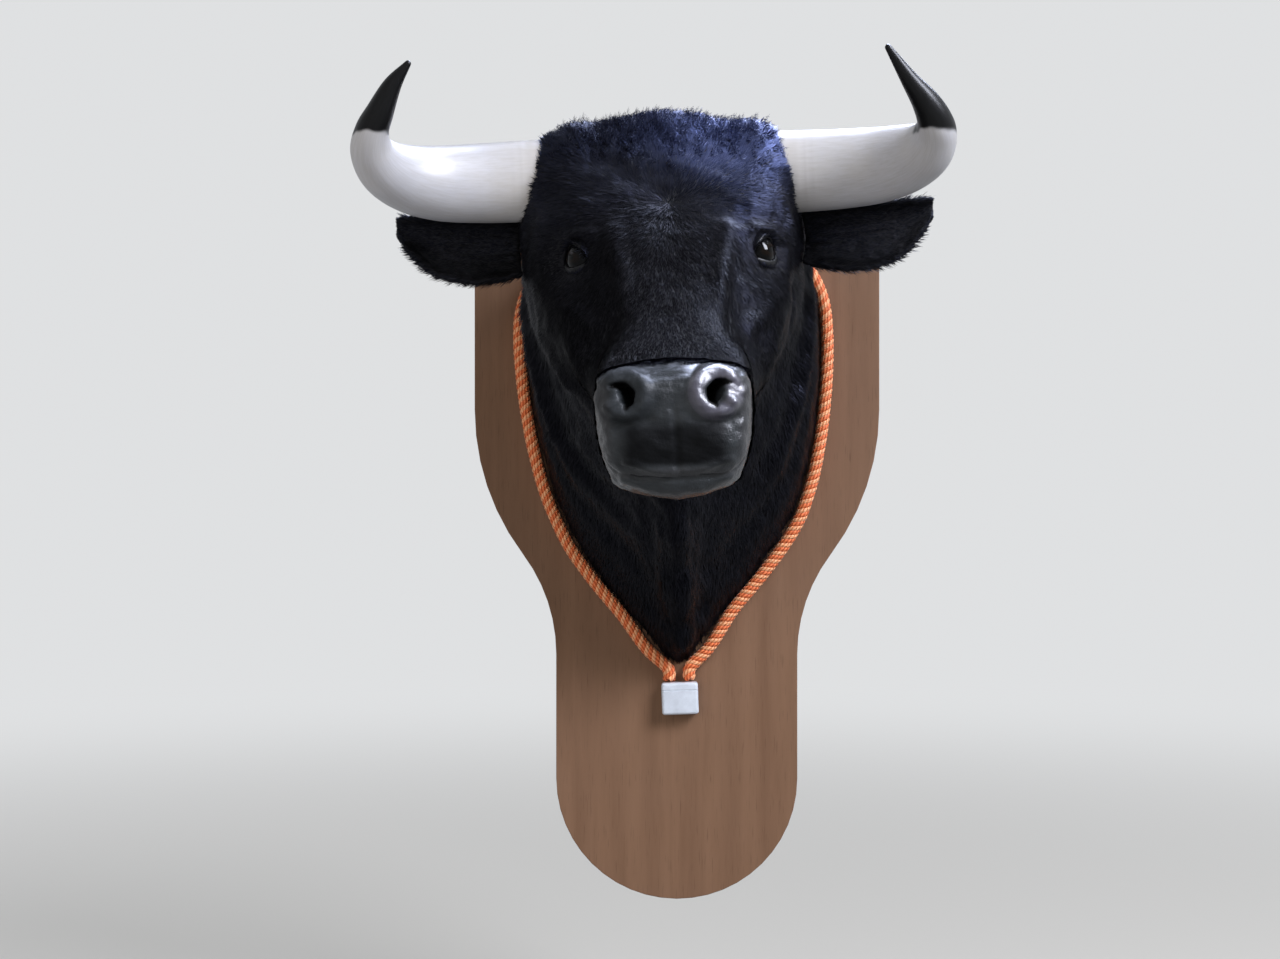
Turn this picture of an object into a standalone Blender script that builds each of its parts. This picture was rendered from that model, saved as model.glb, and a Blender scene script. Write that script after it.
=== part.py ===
"""A bull's head mounted on a shaped wooden plaque, with a twisted cord round the neck.

The row frame: the plaque's back lies on the plane y = 0, the head faces -Y, and +Z is up.
The origin is on the back face, behind the middle of the neck. Everything is in metres.
"""

import math

import bmesh
import bpy
import numpy as np
from mathutils import Matrix, Vector
from mathutils.bvhtree import BVHTree

MM = 0.001
GAP = 0.0003  # what touching pieces keep between them

# Plaque: a vase-shaped board, wide behind the neck and narrow below, with a round foot
PLAQUE_THICK = 0.020
PLAQUE_HALF_WIDE = 0.2165
PLAQUE_HALF_NARROW = 0.129
PLAQUE_TOP = 0.319
PLAQUE_ARCH_BASE = 0.190
PLAQUE_SHOULDER = 0.032  # height where the sides start to draw in
PLAQUE_SHOULDER_R = 0.257
PLAQUE_WAIST_R = 0.178
PLAQUE_BOTTOM = -0.4915
PLAQUE_EDGE_R = 0.0035

# The head and everything on it lean a little to one side of the plaque
HEAD_LEAN_DEG = 2.0

# Cord round the neck, and the clasp that holds its two ends
CORD_R = 0.007
CORD_POINTS = 66
CLASP_WIDE, CLASP_THICK, CLASP_TALL = 0.039, 0.017, 0.034
CLASP_TOP = -0.2585
CLASP_R = 0.0025

# Toothed hanger, nailed in a shallow recess of the plaque's back
HANGER_Z = 0.205
RECESS_WIDE, RECESS_TALL, RECESS_DEEP = 0.056, 0.020, 0.0036
HANGER_WIDE, HANGER_TALL, HANGER_THICK = 0.048, 0.011, 0.0009
HANGER_RISE = 0.0019  # the middle stands this far off the recess's floor
HANGER_TEETH, TOOTH_PITCH = 7, 0.0034
NAIL_AT_X = 0.0205
NAIL_HEAD_R, NAIL_HEAD_THICK, NAIL_R, NAIL_LONG = 0.0022, 0.0007, 0.0008, 0.009

EYE_R = 0.0175
EYE_AT = Vector((0.0805, -0.2900, 0.1665))
EYE_SEGMENTS, EYE_RINGS = 14, 9
LID_R, LID_TUBE_R = 0.0188, 0.0052

HORN_SIDES_RESOLUTION = 5
HORN_ROWS = 17
HORN_TIP_SHARE = 0.72  # the black tip starts here along the horn


def clear_scene():
    for obj in list(bpy.data.objects):
        bpy.data.objects.remove(obj, do_unlink=True)


def collection(name):
    made = bpy.data.collections.new(name)
    bpy.context.scene.collection.children.link(made)
    return made


clear_scene()
PARTS = collection("mounted_bull_head")
CUTTERS = collection("cutters")


def material(name, colour, roughness, metallic=0.0):
    made = bpy.data.materials.new(name)
    made.use_nodes = True
    shader = made.node_tree.nodes["Principled BSDF"]
    shader.inputs["Base Color"].default_value = (*colour, 1.0)
    shader.inputs["Roughness"].default_value = roughness
    shader.inputs["Metallic"].default_value = metallic
    return made


BROWN_BOARD = material("brown_board", (0.168, 0.104, 0.066), 0.62)
BLACK_FUR = material("black_fur", (0.010, 0.010, 0.016), 0.80)
GREY_MUZZLE = material("grey_muzzle", (0.030, 0.031, 0.035), 0.30)
BLACK_GLASS = material("black_glass", (0.004, 0.004, 0.005), 0.05)
PALE_HORN = material("pale_horn", (0.72, 0.71, 0.74), 0.25)
BLACK_HORN = material("black_horn", (0.012, 0.012, 0.012), 0.35)
ORANGE_CORD = material("orange_cord", (0.66, 0.16, 0.05), 0.70)
WHITE_CLASP = material("white_clasp", (0.66, 0.70, 0.76), 0.30)
STEEL = material("steel", (0.55, 0.55, 0.56), 0.35, 1.0)


def add_object(name, mesh, finish, home=PARTS):
    obj = bpy.data.objects.new(name, mesh)
    home.objects.link(obj)
    if finish is not None:
        mesh.materials.append(finish)
    return obj


def as_cutter(obj):
    for home in list(obj.users_collection):
        home.objects.unlink(obj)
    CUTTERS.objects.link(obj)
    obj.hide_render = True
    obj.display_type = "WIRE"
    return obj


def boolean(obj, other, operation="DIFFERENCE"):
    modifier = obj.modifiers.new(f"{operation.lower()}_{other.name}", "BOOLEAN")
    modifier.operation = operation
    modifier.object = other
    modifier.solver = "EXACT"
    return modifier


def frozen_mesh(obj):
    """The evaluated mesh of an object, in its own coordinates, with loose caps welded."""
    bpy.context.view_layer.update()
    graph = bpy.context.evaluated_depsgraph_get()
    mesh = bpy.data.meshes.new_from_object(obj.evaluated_get(graph))
    work = bmesh.new()
    work.from_mesh(mesh)
    bmesh.ops.remove_doubles(work, verts=work.verts, dist=1e-5)
    bmesh.ops.recalc_face_normals(work, faces=work.faces)
    work.to_mesh(mesh)
    work.free()
    return mesh


def frozen(obj, name, finish):
    """A mesh object with the shape of a curve or of a modified object, which is removed."""
    mesh = frozen_mesh(obj)
    place = obj.matrix_world.copy()
    bpy.data.objects.remove(obj, do_unlink=True)
    mesh.materials.clear()
    made = add_object(name, mesh, finish)
    made.matrix_world = place
    return made


def smooth_shading(obj, angle_deg=40):
    obj.data.shade_smooth()
    obj.data.set_sharp_from_angle(angle=math.radians(angle_deg))


def smooth_line(points, count, closed=False):
    """count points on a Catmull-Rom curve through the given points, spaced evenly in its parameter."""
    points = np.asarray(points, float)
    spans = len(points) if closed else len(points) - 1
    made = []
    for t in np.linspace(0, spans, count, endpoint=not closed):
        i = min(int(t), spans - 1)
        f = t - i
        if closed:
            a, b, c, d = (points[(i + k) % len(points)] for k in (-1, 0, 1, 2))
        else:
            b, c = points[i], points[i + 1]
            a = points[i - 1] if i > 0 else 2 * b - c
            d = points[i + 2] if i + 2 < len(points) else 2 * c - b
        blend = 2 * b + (c - a) * f + (2 * a - 5 * b + 4 * c - d) * f**2
        made.append((blend + (3 * b - a - 3 * c + d) * f**3) / 2)
    return np.array(made)


def even_line(points, count):
    """count points spaced evenly by length on a smooth curve through the given points."""
    dense = smooth_line(points, 40 * len(points))
    steps = np.linalg.norm(np.diff(dense[:, :3], axis=0), axis=1)
    along = np.concatenate([[0], np.cumsum(steps)])
    wanted = np.linspace(0, along[-1], count)
    return np.stack([np.interp(wanted, along, dense[:, k]) for k in range(dense.shape[1])], axis=1)


# Head and neck: a loft through sections of the side view, from the plaque to the muzzle.
# Each section is a line from the top profile to the bottom profile, given as (forward, up),
# with the half width of the head at seven shares of the way down that line, all in mm, and how
# far its middle lies to one side, because the head is turned a little.
SHARES = (0.06, 0.18, 0.34, 0.50, 0.66, 0.80, 0.92)
HEAD_SECTIONS = (
    # name, top, bottom, half widths, aside
    ("behind the board", (-12, 213), (-12, -246), (118, 150, 153, 143, 121, 83, 37), 0),
    ("neck at the board", (20, 219), (20, -240), (116, 148.5, 153, 143.5, 122, 84, 38), 0),
    ("neck", (62, 238), (68, -204), (110, 145.5, 151, 142, 120, 79, 38), 0),
    ("neck", (108, 268), (118, -160), (102, 144, 149, 139, 114, 74, 37), -3),
    ("nape", (152, 289), (168, -113), (106, 140, 143, 132, 107, 71, 38), -6),
    ("back of the crown", (186, 308), (212, -70), (106, 135, 138, 127, 104, 70, 40), -9),
    ("crown", (214, 320), (250, -36), (108, 136, 134, 124, 108, 76, 42), -9),
    ("forehead", (246, 305), (288, -14), (95, 122, 124, 118, 104, 76, 42), -6),
    ("brow", (280, 262), (321, -14), (72, 90, 95, 104, 97, 72, 39), -2),
    ("below the eyes", (313, 216), (346, -23), (52, 70, 84, 95, 91, 67, 36), 0),
    ("upper bridge", (345, 170), (368, -34), (42, 59, 73, 82, 79, 61, 34), 0),
    ("middle of the bridge", (377, 128), (388, -42), (38, 56, 67, 72, 69, 56, 33), 0),
    ("lower bridge", (409, 90), (405, -48), (44, 60, 69, 70, 66, 54.5, 38), -0.5),
    ("muzzle", (436, 62), (420, -53), (54, 65, 68, 67.5, 64, 55, 42), -1),
    ("inside the muzzle", (462, 50), (440, -51), (52, 62, 65, 64, 61, 52, 39), -1),
)
HEAD_ROWS, HEAD_COLUMNS = 36, 44

# Swellings and hollows that turn the loft into a bull's face: where (aside, forward, up),
# how far they reach and how high they stand, in mm. All but those at 0 aside are on both sides.
HEAD_FORMS = (
    ("brow ridge", (84, 282, 205), 26, 7),
    ("outer brow", (106, 262, 196), 22, 5),
    ("eye hollow", (90, 300, 166), 20, -5),
    ("hollow in front of the eye", (76, 322, 158), 20, -5),
    ("cheek bone", (97, 296, 118), 34, 6),
    ("jaw muscle", (112, 240, 88), 58, 9),
    ("hollow behind the jaw", (118, 178, 60), 44, -10),
    ("jaw", (72, 318, 10), 34, 7),
    ("temple", (124, 246, 222), 30, -7),
    ("hollow of the bridge", (60, 372, 92), 34, -6),
    ("side of the nose", (64, 414, 58), 24, 5),
    ("between the eyes", (0, 306, 232), 42, -4),
    ("throat ridge", (0, 190, -92), 34, 9),
    ("throat ridge", (0, 120, -158), 34, 8),
    ("throat ridge", (0, 62, -208), 30, 6),
    ("beside the throat", (54, 190, -62), 40, -6),
    ("beside the throat", (60, 110, -128), 40, -5),
)

def section_ring(top, bottom, widths, aside=0):
    """The closed ring of one section, in mm: down one side from the top and up the other."""
    top, bottom = np.array(top, float), np.array(bottom, float)
    side = [(w, *(top + (bottom - top) * share)) for share, w in zip(SHARES, widths)]
    down = [(0, *top), *side, (0, *bottom)]
    up = [(-w, forward, height) for w, forward, height in reversed(side)]
    return np.array(down + up) + np.array((aside, 0, 0))


def loft_points(rings, rows, columns):
    """A smooth grid of points through the rings: rows along the loft, columns round it."""
    round_it = np.array([smooth_line(ring, columns, closed=True) for ring in rings])
    flat = smooth_line(round_it.reshape(len(rings), -1), rows)
    return flat.reshape(rows, columns, 3)


def loft_mesh(name, grid):
    """A closed mesh over a grid of rings, with a flat end on each."""
    rows, columns = grid.shape[:2]
    work = bmesh.new()
    verts = [[work.verts.new(point) for point in ring] for ring in grid]
    for lower, upper in zip(verts, verts[1:]):
        for i in range(columns):
            j = (i + 1) % columns
            work.faces.new((lower[i], lower[j], upper[j], upper[i]))
    work.faces.new(verts[0])
    work.faces.new(verts[-1])
    bmesh.ops.recalc_face_normals(work, faces=work.faces)
    mesh = bpy.data.meshes.new(name)
    work.to_mesh(mesh)
    work.free()
    return mesh


def swell(points, normals, centre, reach, height):
    """Pushes points out along their normals, most at the centre and nothing past the reach."""
    far = np.linalg.norm(points - np.array(centre, float), axis=1) / (1.6 * reach)
    return points + normals * (height * np.clip(1 - far**2, 0, None) ** 3)[:, None]


def to_frame(points):
    """(aside, forward, up) in mm to the row frame in metres."""
    points = np.asarray(points, float) * MM
    return np.stack([points[..., 0], -points[..., 1], points[..., 2]], axis=-1)


def grid_normals(grid):
    """Outward normals of a lofted grid."""
    along = np.gradient(grid, axis=0)
    round_it = np.roll(grid, -1, axis=1) - np.roll(grid, 1, axis=1)
    normals = np.cross(round_it, along)
    normals /= np.maximum(np.linalg.norm(normals, axis=2, keepdims=True), 1e-9)
    outward = grid - grid.mean(axis=1, keepdims=True)
    return normals * np.sign((normals * outward).sum(axis=(1, 2), keepdims=True))


def apply_forms(grid, forms):
    flat, normals = grid.reshape(-1, 3), grid_normals(grid).reshape(-1, 3)
    for _, (aside, forward, up), reach, height in forms:
        for side in (1, -1) if aside else (1,):
            flat = swell(flat, normals, (side * aside, forward, up), reach, height)
    return flat.reshape(grid.shape)


# Low on the board the neck and its cord hang a little to one side and are drawn in, in mm
LOW_FROM, LOW_DEPTH, LOW_ASIDE, LOW_NARROW = -85, 95, -6, 3.6


def draw_in(points):
    points = np.array(points, float)
    share = np.clip((LOW_FROM - points[..., 2]) / LOW_DEPTH, 0, 1)
    share *= np.clip((300 - points[..., 1]) / 100, 0, 1)
    points[..., 0] += share * (LOW_ASIDE - LOW_NARROW * np.clip(points[..., 0] / 60, -1, 1))
    return points


def build_head_form():
    rings = [section_ring(*section[1:]) for section in HEAD_SECTIONS]
    grid = apply_forms(loft_points(rings, HEAD_ROWS, HEAD_COLUMNS), HEAD_FORMS)
    grid = draw_in(grid)
    return add_object("head", loft_mesh("head", to_frame(grid)), BLACK_FUR)


# Muzzle: a rounded block of nose and lips, on the cut end of the head
MUZZLE_SECTIONS = (
    ("seat", (430, 61.5), (415, -53), (54, 65, 68, 67.5, 64.5, 57, 45), -1),
    ("behind the nostrils", (448, 60.5), (432, -57), (57.5, 66, 68, 67, 64, 58, 48), -1.5),
    ("nostrils", (466, 54.5), (449, -58), (56, 64, 65.5, 65, 62, 56, 47), -2),
    ("front edge", (480, 45), (464, -53.5), (49, 57, 60, 60, 57, 49, 39), -1.5),
    ("front", (487, 34), (474, -44), (35, 43, 46, 47, 44, 37, 28), -1),
    ("middle of the front", (489.5, 18), (483.5, -21), (15, 19, 21, 21, 20, 16, 11), 0),
)
MUZZLE_FORMS = (
    ("wing of the nostril", (48, 470, 40), 20, 4),
    ("inner wing of the nostril", (22, 484, 32), 15, 3),
    ("groove of the lip", (0, 490, 4), 15, -3),
    ("upper lip", (30, 484, -18), 24, 4),
    ("chin", (0, 462, -54), 26, 3),
)
MUZZLE_ROWS, MUZZLE_COLUMNS = 13, 34
NOSTRIL_AT, NOSTRIL_RADII = (38, 483, 30), (8.5, 15, 8)
NOSTRIL_TURN_DEG, NOSTRIL_TILT_DEG = 28, 24
NOSTRIL_ASIDE = -4
# the slit of a nostril curls round a fold: (outward, up, radius) from the pit's middle, in mm
NOSTRIL_SLIT = ((16, 7, 2.4), (10, 9.5, 3.8), (3, 8, 5), (-3, 2, 5.6), (-3.5, -6, 4.4), (1, -12, 2.8))
MOUTH_LINE = ((0, 474, -42), (20, 472, -40.5), (37, 466, -36), (49, 461, -28), (58, 456, -19))
MOUTH_R = 2.8


def build_block(name, low, high):
    work = bmesh.new()
    bmesh.ops.create_cube(work, size=1.0)
    size = Vector(high) - Vector(low)
    bmesh.ops.scale(work, vec=size, verts=work.verts)
    bmesh.ops.translate(work, vec=(Vector(low) + Vector(high)) / 2, verts=work.verts)
    mesh = bpy.data.meshes.new(name)
    work.to_mesh(mesh)
    work.free()
    return add_object(name, mesh, None)


def tube(name, points, radii, finish, resolution, closed=False):
    """A curve object swept along points in metres, with a radius at each point."""
    curve = bpy.data.curves.new(name, "CURVE")
    curve.dimensions = "3D"
    curve.bevel_depth = 1.0
    curve.bevel_resolution = resolution
    curve.use_fill_caps = not closed
    spline = curve.splines.new("POLY")
    spline.points.add(len(points) - 1)
    spline.use_cyclic_u = closed
    for target, point, radius in zip(spline.points, points, radii):
        target.co = (*point, 1.0)
        target.radius = radius
    curve.materials.append(finish)
    obj = bpy.data.objects.new(name, curve)
    PARTS.objects.link(obj)
    return obj


def ellipsoid(name, centre, radii, segments=20, rings=12):
    work = bmesh.new()
    bmesh.ops.create_uvsphere(work, u_segments=segments, v_segments=rings, radius=1.0)
    bmesh.ops.scale(work, vec=radii, verts=work.verts)
    mesh = bpy.data.meshes.new(name)
    work.to_mesh(mesh)
    work.free()
    obj = add_object(name, mesh, None)
    obj.location = centre
    return obj


def on_surface(obj, points):
    """Each point moved to the nearest place on an object's surface."""
    tree = BVHTree.FromPolygons(
        [v.co for v in obj.data.vertices], [p.vertices for p in obj.data.polygons]
    )
    return np.array([tree.find_nearest(Vector(point))[0] for point in points])


def build_muzzle_form():
    rings = [section_ring(*section[1:]) for section in MUZZLE_SECTIONS]
    grid = apply_forms(loft_points(rings, MUZZLE_ROWS, MUZZLE_COLUMNS), MUZZLE_FORMS)
    return add_object("muzzle", loft_mesh("muzzle", to_frame(grid)), GREY_MUZZLE)


def build_nostril_slit(word, side, muzzle):
    middle_x, forward, middle_z = NOSTRIL_AT
    route = [
        (side * (middle_x + out) + NOSTRIL_ASIDE, forward, middle_z + up, radius)
        for out, up, radius in NOSTRIL_SLIT
    ]
    line = even_line(route, 9)
    points = on_surface(muzzle, to_frame(line[:, :3]))
    name = f"nostril_slit_{word}"
    return as_cutter(frozen(tube(name, points, line[:, 3] * MM, GREY_MUZZLE, 2), name, None))


# Where the head ends and the muzzle begins: a plane through these two points of the side view
SEAT_TOP, SEAT_BOTTOM = (437, 62), (420.5, -53)


def seat_block(name, offset, reach):
    """A block on one side of the seat plane: reach forward if positive, backward if negative."""
    top, bottom = np.array(SEAT_TOP), np.array(SEAT_BOTTOM)
    tilt = math.atan2(top[0] - bottom[0], top[1] - bottom[1])
    block = build_block(name, (-0.12, min(0, -reach), -0.12), (0.12, max(0, -reach), 0.12))
    block.data.transform(Matrix.Translation((0, -offset, 0)))
    middle = to_frame([(0, *((top + bottom) / 2))])[0]
    block.matrix_world = Matrix.Translation(middle) @ Matrix.Rotation(tilt, 4, "X")
    return as_cutter(block)


# Horns: (outward, forward, up, radius) in mm along each middle line; each grew in its own way
HORN_LINES = {
    "left": (
        (112, 207, 254, 40.0),
        (145, 208, 254, 39.5),
        (182, 214, 253, 38.5),
        (219, 230, 252, 36.5),
        (247, 253, 254, 32.5),
        (266, 279, 261, 27.0),
        (275, 303, 274, 20.5),
        (272, 320, 289, 16.0),
        (263, 330, 304, 13.0),
        (249, 340, 327, 8.5),
        (233, 347, 345, 3.0),
    ),
    "right": (
        (108, 207, 254, 40.0),
        (138, 208, 254, 39.5),
        (172, 214, 254, 38.5),
        (204, 229, 254, 36.5),
        (229, 252, 256, 32.5),
        (244, 277, 260, 26.5),
        (250, 300, 270, 20.5),
        (248, 316, 280, 16.5),
        (239, 328, 295, 13.0),
        (223, 339, 315, 8.0),
        (204, 347, 343, 3.0),
    ),
}


def build_horn(name, word, side, swell_by=0.0):
    line = even_line(HORN_LINES[word], HORN_ROWS)
    points = to_frame(line[:, :3]) * np.array((side, 1, 1))
    radii = line[:, 3] * MM + swell_by
    if swell_by:
        points[0] += np.array((-side * swell_by, 0, 0))
    horn = frozen(tube(name, points, radii, PALE_HORN, HORN_SIDES_RESOLUTION), name, PALE_HORN)
    if not swell_by:
        horn.data.materials.append(BLACK_HORN)
        tip_from = points[round(HORN_TIP_SHARE * (HORN_ROWS - 1))]
        along = points[-1] - tip_from
        for face in horn.data.polygons:
            face.material_index = int(np.dot(np.array(face.center) - tip_from, along) > 0)
    smooth_shading(horn)
    return horn


# Ear, on the +X side: a cupped leaf with a straight upper edge, given by its outline in mm
EAR_TOP_EDGE = ((112, 186, 217), (150, 184, 221), (190, 183, 223), (230, 181, 225), (266, 178, 227))
EAR_LOW_EDGE = ((112, 186, 176), (150, 188, 163), (190, 188, 159), (232, 185, 171), (266, 178, 208))
EAR_CUP = (13, 16, 17, 13, 3)  # how far the middle of the ear lies behind its edges
EAR_ASIDE = -5  # the ears sit as far to one side as the crown does
EAR_ROWS, EAR_COLUMNS = 11, 8
EAR_THICK = 0.0045


def build_ear(name, side):
    top, low = smooth_line(EAR_TOP_EDGE, EAR_ROWS), smooth_line(EAR_LOW_EDGE, EAR_ROWS)
    cup = smooth_line([(value,) for value in EAR_CUP], EAR_ROWS)[:, 0]
    work = bmesh.new()
    verts = []
    for row in range(EAR_ROWS):
        line = []
        for column in range(EAR_COLUMNS):
            share = column / (EAR_COLUMNS - 1)
            point = top[row] * (1 - share) + low[row] * share
            point = point - np.array((0, cup[row] * math.sin(math.pi * share), 0))
            point = point * np.array((side, 1, 1)) + np.array((EAR_ASIDE, 0, 0))
            line.append(work.verts.new(to_frame(point)))
        verts.append(line)
    for near, far in zip(verts, verts[1:]):
        for i in range(EAR_COLUMNS - 1):
            work.faces.new((near[i], near[i + 1], far[i + 1], far[i]))
    mesh = bpy.data.meshes.new(name)
    work.to_mesh(mesh)
    work.free()
    ear = add_object(name, mesh, BLACK_FUR)
    shell = ear.modifiers.new("thickness", "SOLIDIFY")
    shell.thickness = EAR_THICK
    shell.offset = 0
    smooth_shading(ear, 60)
    return ear


def swollen(obj, name, by):
    """A cutter: a copy of a mesh with each point pushed out along its normal."""
    mesh = obj.data.copy()
    for vertex, normal in zip(mesh.vertices, [v.normal.copy() for v in mesh.vertices]):
        vertex.co += normal * by
    mesh.materials.clear()
    return as_cutter(add_object(name, mesh, None))


def build_eye(name, side):
    at = Vector((side * EYE_AT.x, EYE_AT.y, EYE_AT.z))
    eye = ellipsoid(name, at, (EYE_R,) * 3, EYE_SEGMENTS, EYE_RINGS)
    eye.data.materials.append(BLACK_GLASS)
    smooth_shading(eye, 60)
    return eye


def build_lid(side):
    """A ring of skin round the eye, which a union joins to the head."""
    outward = Vector((side * 0.80, -0.56, 0.12)).normalized()
    at = Vector((side * EYE_AT.x, EYE_AT.y, EYE_AT.z)) + outward * 0.0075
    bpy.ops.mesh.primitive_torus_add(
        major_segments=16, minor_segments=6, major_radius=LID_R, minor_radius=LID_TUBE_R
    )
    lid = bpy.context.object
    lid.name = f"lid_{'right' if side > 0 else 'left'}"
    lid.data.transform(Matrix.Diagonal((1.12, 0.94, 1.0, 1.0)))
    lid.matrix_world = Matrix.Translation(at) @ outward.to_track_quat("Z", "X").to_matrix().to_4x4()
    return as_cutter(lid)


# Neck outline at the board, which the cord follows: half width and height in mm
CORD_HALF = (
    (0, 235),
    (46, 233),
    (88, 224),
    (118, 207),
    (139, 186),
    (154, 163),
    (162, 137),
    (164, 108),
    (163, 78),
    (160, 42),
    (153, -5),
    (141, -55),
    (121, -104),
    (94, -145),
    (63, -184),
    (36, -221.5),
    (13, -243),
    (11.5, -255),
)


def build_cord():
    forward = (PLAQUE_THICK + CORD_R + GAP) / MM
    half = [(x, forward, z) for x, z in CORD_HALF]
    route = [(-x, y, z) for x, y, z in reversed(half[1:])] + half
    points = to_frame(draw_in(even_line(route, CORD_POINTS)))
    return tube("trim_cord", points, [CORD_R] * len(points), ORANGE_CORD, 2)


def build_clasp():
    back = -(PLAQUE_THICK + GAP)
    middle = LOW_ASIDE * MM
    low = (middle - CLASP_WIDE / 2, back - CLASP_THICK, CLASP_TOP - CLASP_TALL)
    clasp = build_block("cord_clasp", low, (middle + CLASP_WIDE / 2, back, CLASP_TOP))
    clasp.data.materials.append(WHITE_CLASP)
    rounded = clasp.modifiers.new("edges", "BEVEL")
    rounded.width = CLASP_R
    rounded.segments = 2
    smooth_shading(clasp)
    return clasp


def plaque_outline():
    """The board's outline, anticlockwise from the foot, seen from the front, as (x, z) in metres."""
    drop = math.acos(
        1 - (PLAQUE_HALF_WIDE - PLAQUE_HALF_NARROW) / (PLAQUE_SHOULDER_R + PLAQUE_WAIST_R)
    )
    waist_z = PLAQUE_SHOULDER - (PLAQUE_SHOULDER_R + PLAQUE_WAIST_R) * math.sin(drop)
    foot_z = PLAQUE_BOTTOM + PLAQUE_HALF_NARROW
    right = [
        (PLAQUE_HALF_NARROW * math.sin(a), foot_z - PLAQUE_HALF_NARROW * math.cos(a))
        for a in np.linspace(0, math.pi / 2, 13)
    ]
    waist_x = PLAQUE_HALF_NARROW + PLAQUE_WAIST_R
    right += [
        (waist_x - PLAQUE_WAIST_R * math.cos(a), waist_z + PLAQUE_WAIST_R * math.sin(a))
        for a in np.linspace(0, drop, 7)
    ]
    shoulder_x = PLAQUE_HALF_WIDE - PLAQUE_SHOULDER_R
    right += [
        (
            shoulder_x + PLAQUE_SHOULDER_R * math.cos(a),
            PLAQUE_SHOULDER - PLAQUE_SHOULDER_R * math.sin(a),
        )
        for a in np.linspace(drop, 0, 7)[1:]
    ]
    arch = PLAQUE_TOP - PLAQUE_ARCH_BASE
    right += [
        (PLAQUE_HALF_WIDE * math.cos(a), PLAQUE_ARCH_BASE + arch * math.sin(a))
        for a in np.linspace(0, math.pi / 2, 15)
    ]
    left = [(-x, z) for x, z in reversed(right[1:-1])]
    return right + left


def flat_piece(name, outlines, thick, finish):
    """A flat piece from 2D outlines in the x-z plane, its middle on y = 0; later outlines are holes."""
    curve = bpy.data.curves.new(name, "CURVE")
    curve.dimensions = "2D"
    curve.fill_mode = "BOTH"
    curve.extrude = thick / 2
    for outline in outlines:
        spline = curve.splines.new("POLY")
        spline.points.add(len(outline) - 1)
        spline.use_cyclic_u = True
        for target, (x, z) in zip(spline.points, outline):
            target.co = (x, z, 0, 1)
    obj = bpy.data.objects.new(name, curve)
    PARTS.objects.link(obj)
    obj.matrix_world = Matrix.Rotation(math.pi / 2, 4, "X")
    made = frozen(obj, name, finish)
    made.data.transform(made.matrix_world)
    made.matrix_world = Matrix.Identity(4)
    return made


def build_plaque():
    plaque = flat_piece("plaque", [plaque_outline()], PLAQUE_THICK, BROWN_BOARD)
    plaque.data.transform(Matrix.Translation((0, -PLAQUE_THICK / 2, 0)))
    work = bmesh.new()
    work.from_mesh(plaque.data)
    weight = work.edges.layers.float.new("bevel_weight_edge")
    for edge in work.edges:
        at_front = all(abs(v.co.y + PLAQUE_THICK) < 1e-5 for v in edge.verts)
        edge[weight] = float(at_front and len({round(f.normal.y) for f in edge.link_faces}) > 1)
    work.to_mesh(plaque.data)
    work.free()
    rounded = plaque.modifiers.new("front_edge", "BEVEL")
    rounded.limit_method = "WEIGHT"
    rounded.width = PLAQUE_EDGE_R
    rounded.segments = 2
    smooth_shading(plaque)
    return plaque


def rounded_slot(width, height, middle_z, steps=5):
    """A level slot's outline: straight sides with half-round ends."""
    r = height / 2
    reach = width / 2 - r
    turns = np.linspace(-math.pi / 2, math.pi / 2, steps + 1)
    right = [(reach + r * math.cos(a), middle_z + r * math.sin(a)) for a in turns]
    left = [(-x, 2 * middle_z - z) for x, z in right]
    return right + left


def build_recess():
    outline = rounded_slot(RECESS_WIDE, RECESS_TALL, HANGER_Z)
    return as_cutter(flat_piece("recess", [outline], 2 * RECESS_DEEP, None))


def build_hanger():
    """A strip with flat ends on the recess's floor, a raised middle and a toothed lower edge."""
    floor = -(RECESS_DEEP - GAP)
    raised = floor + HANGER_RISE
    end, bend, flat = HANGER_WIDE / 2, NAIL_AT_X - 0.0035, NAIL_AT_X - 0.0065
    low = [(-end, floor), (-bend, floor), (-flat, raised), (flat, raised), (bend, floor), (end, floor)]
    high = [(x, y + HANGER_THICK) for x, y in reversed(low)]
    curve = bpy.data.curves.new("hanger", "CURVE")
    curve.dimensions = "2D"
    curve.fill_mode = "BOTH"
    curve.extrude = HANGER_TALL / 2
    spline = curve.splines.new("POLY")
    spline.points.add(len(low + high) - 1)
    spline.use_cyclic_u = True
    for target, (x, y) in zip(spline.points, low + high):
        target.co = (x, y, 0, 1)
    strip = bpy.data.objects.new("hanger", curve)
    PARTS.objects.link(strip)
    hanger = frozen(strip, "hanger", STEEL)
    hanger.location.z = HANGER_Z
    for k in range(HANGER_TEETH):
        x = (k - (HANGER_TEETH - 1) / 2) * TOOTH_PITCH
        half = TOOTH_PITCH * 0.30
        notch = build_block(f"notch_{k + 1}", (-half, -0.004, -half), (half, 0.004, half))
        notch.rotation_euler = (0, math.radians(45), 0)
        notch.location = (x, -0.002, HANGER_Z - HANGER_TALL / 2)
        boolean(hanger, as_cutter(notch))
    return hanger


def turned(name, profile, finish, steps=14):
    """A profile of (radius, depth behind the back face) points, turned about an axis along Y."""
    mesh = bpy.data.meshes.new(name)
    points = [(radius, 0, -depth) for radius, depth in profile]
    mesh.from_pydata(points, [(i, i + 1) for i in range(len(points) - 1)], [])
    obj = add_object(name, mesh, finish)
    screw = obj.modifiers.new("turn", "SCREW")
    screw.axis = "Z"
    screw.steps = screw.render_steps = steps
    screw.use_merge_vertices = True
    screw.merge_threshold = 0.00005
    made = frozen(obj, name, finish)
    made.data.transform(Matrix.Rotation(-math.pi / 2, 4, "X"))
    return made


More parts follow.
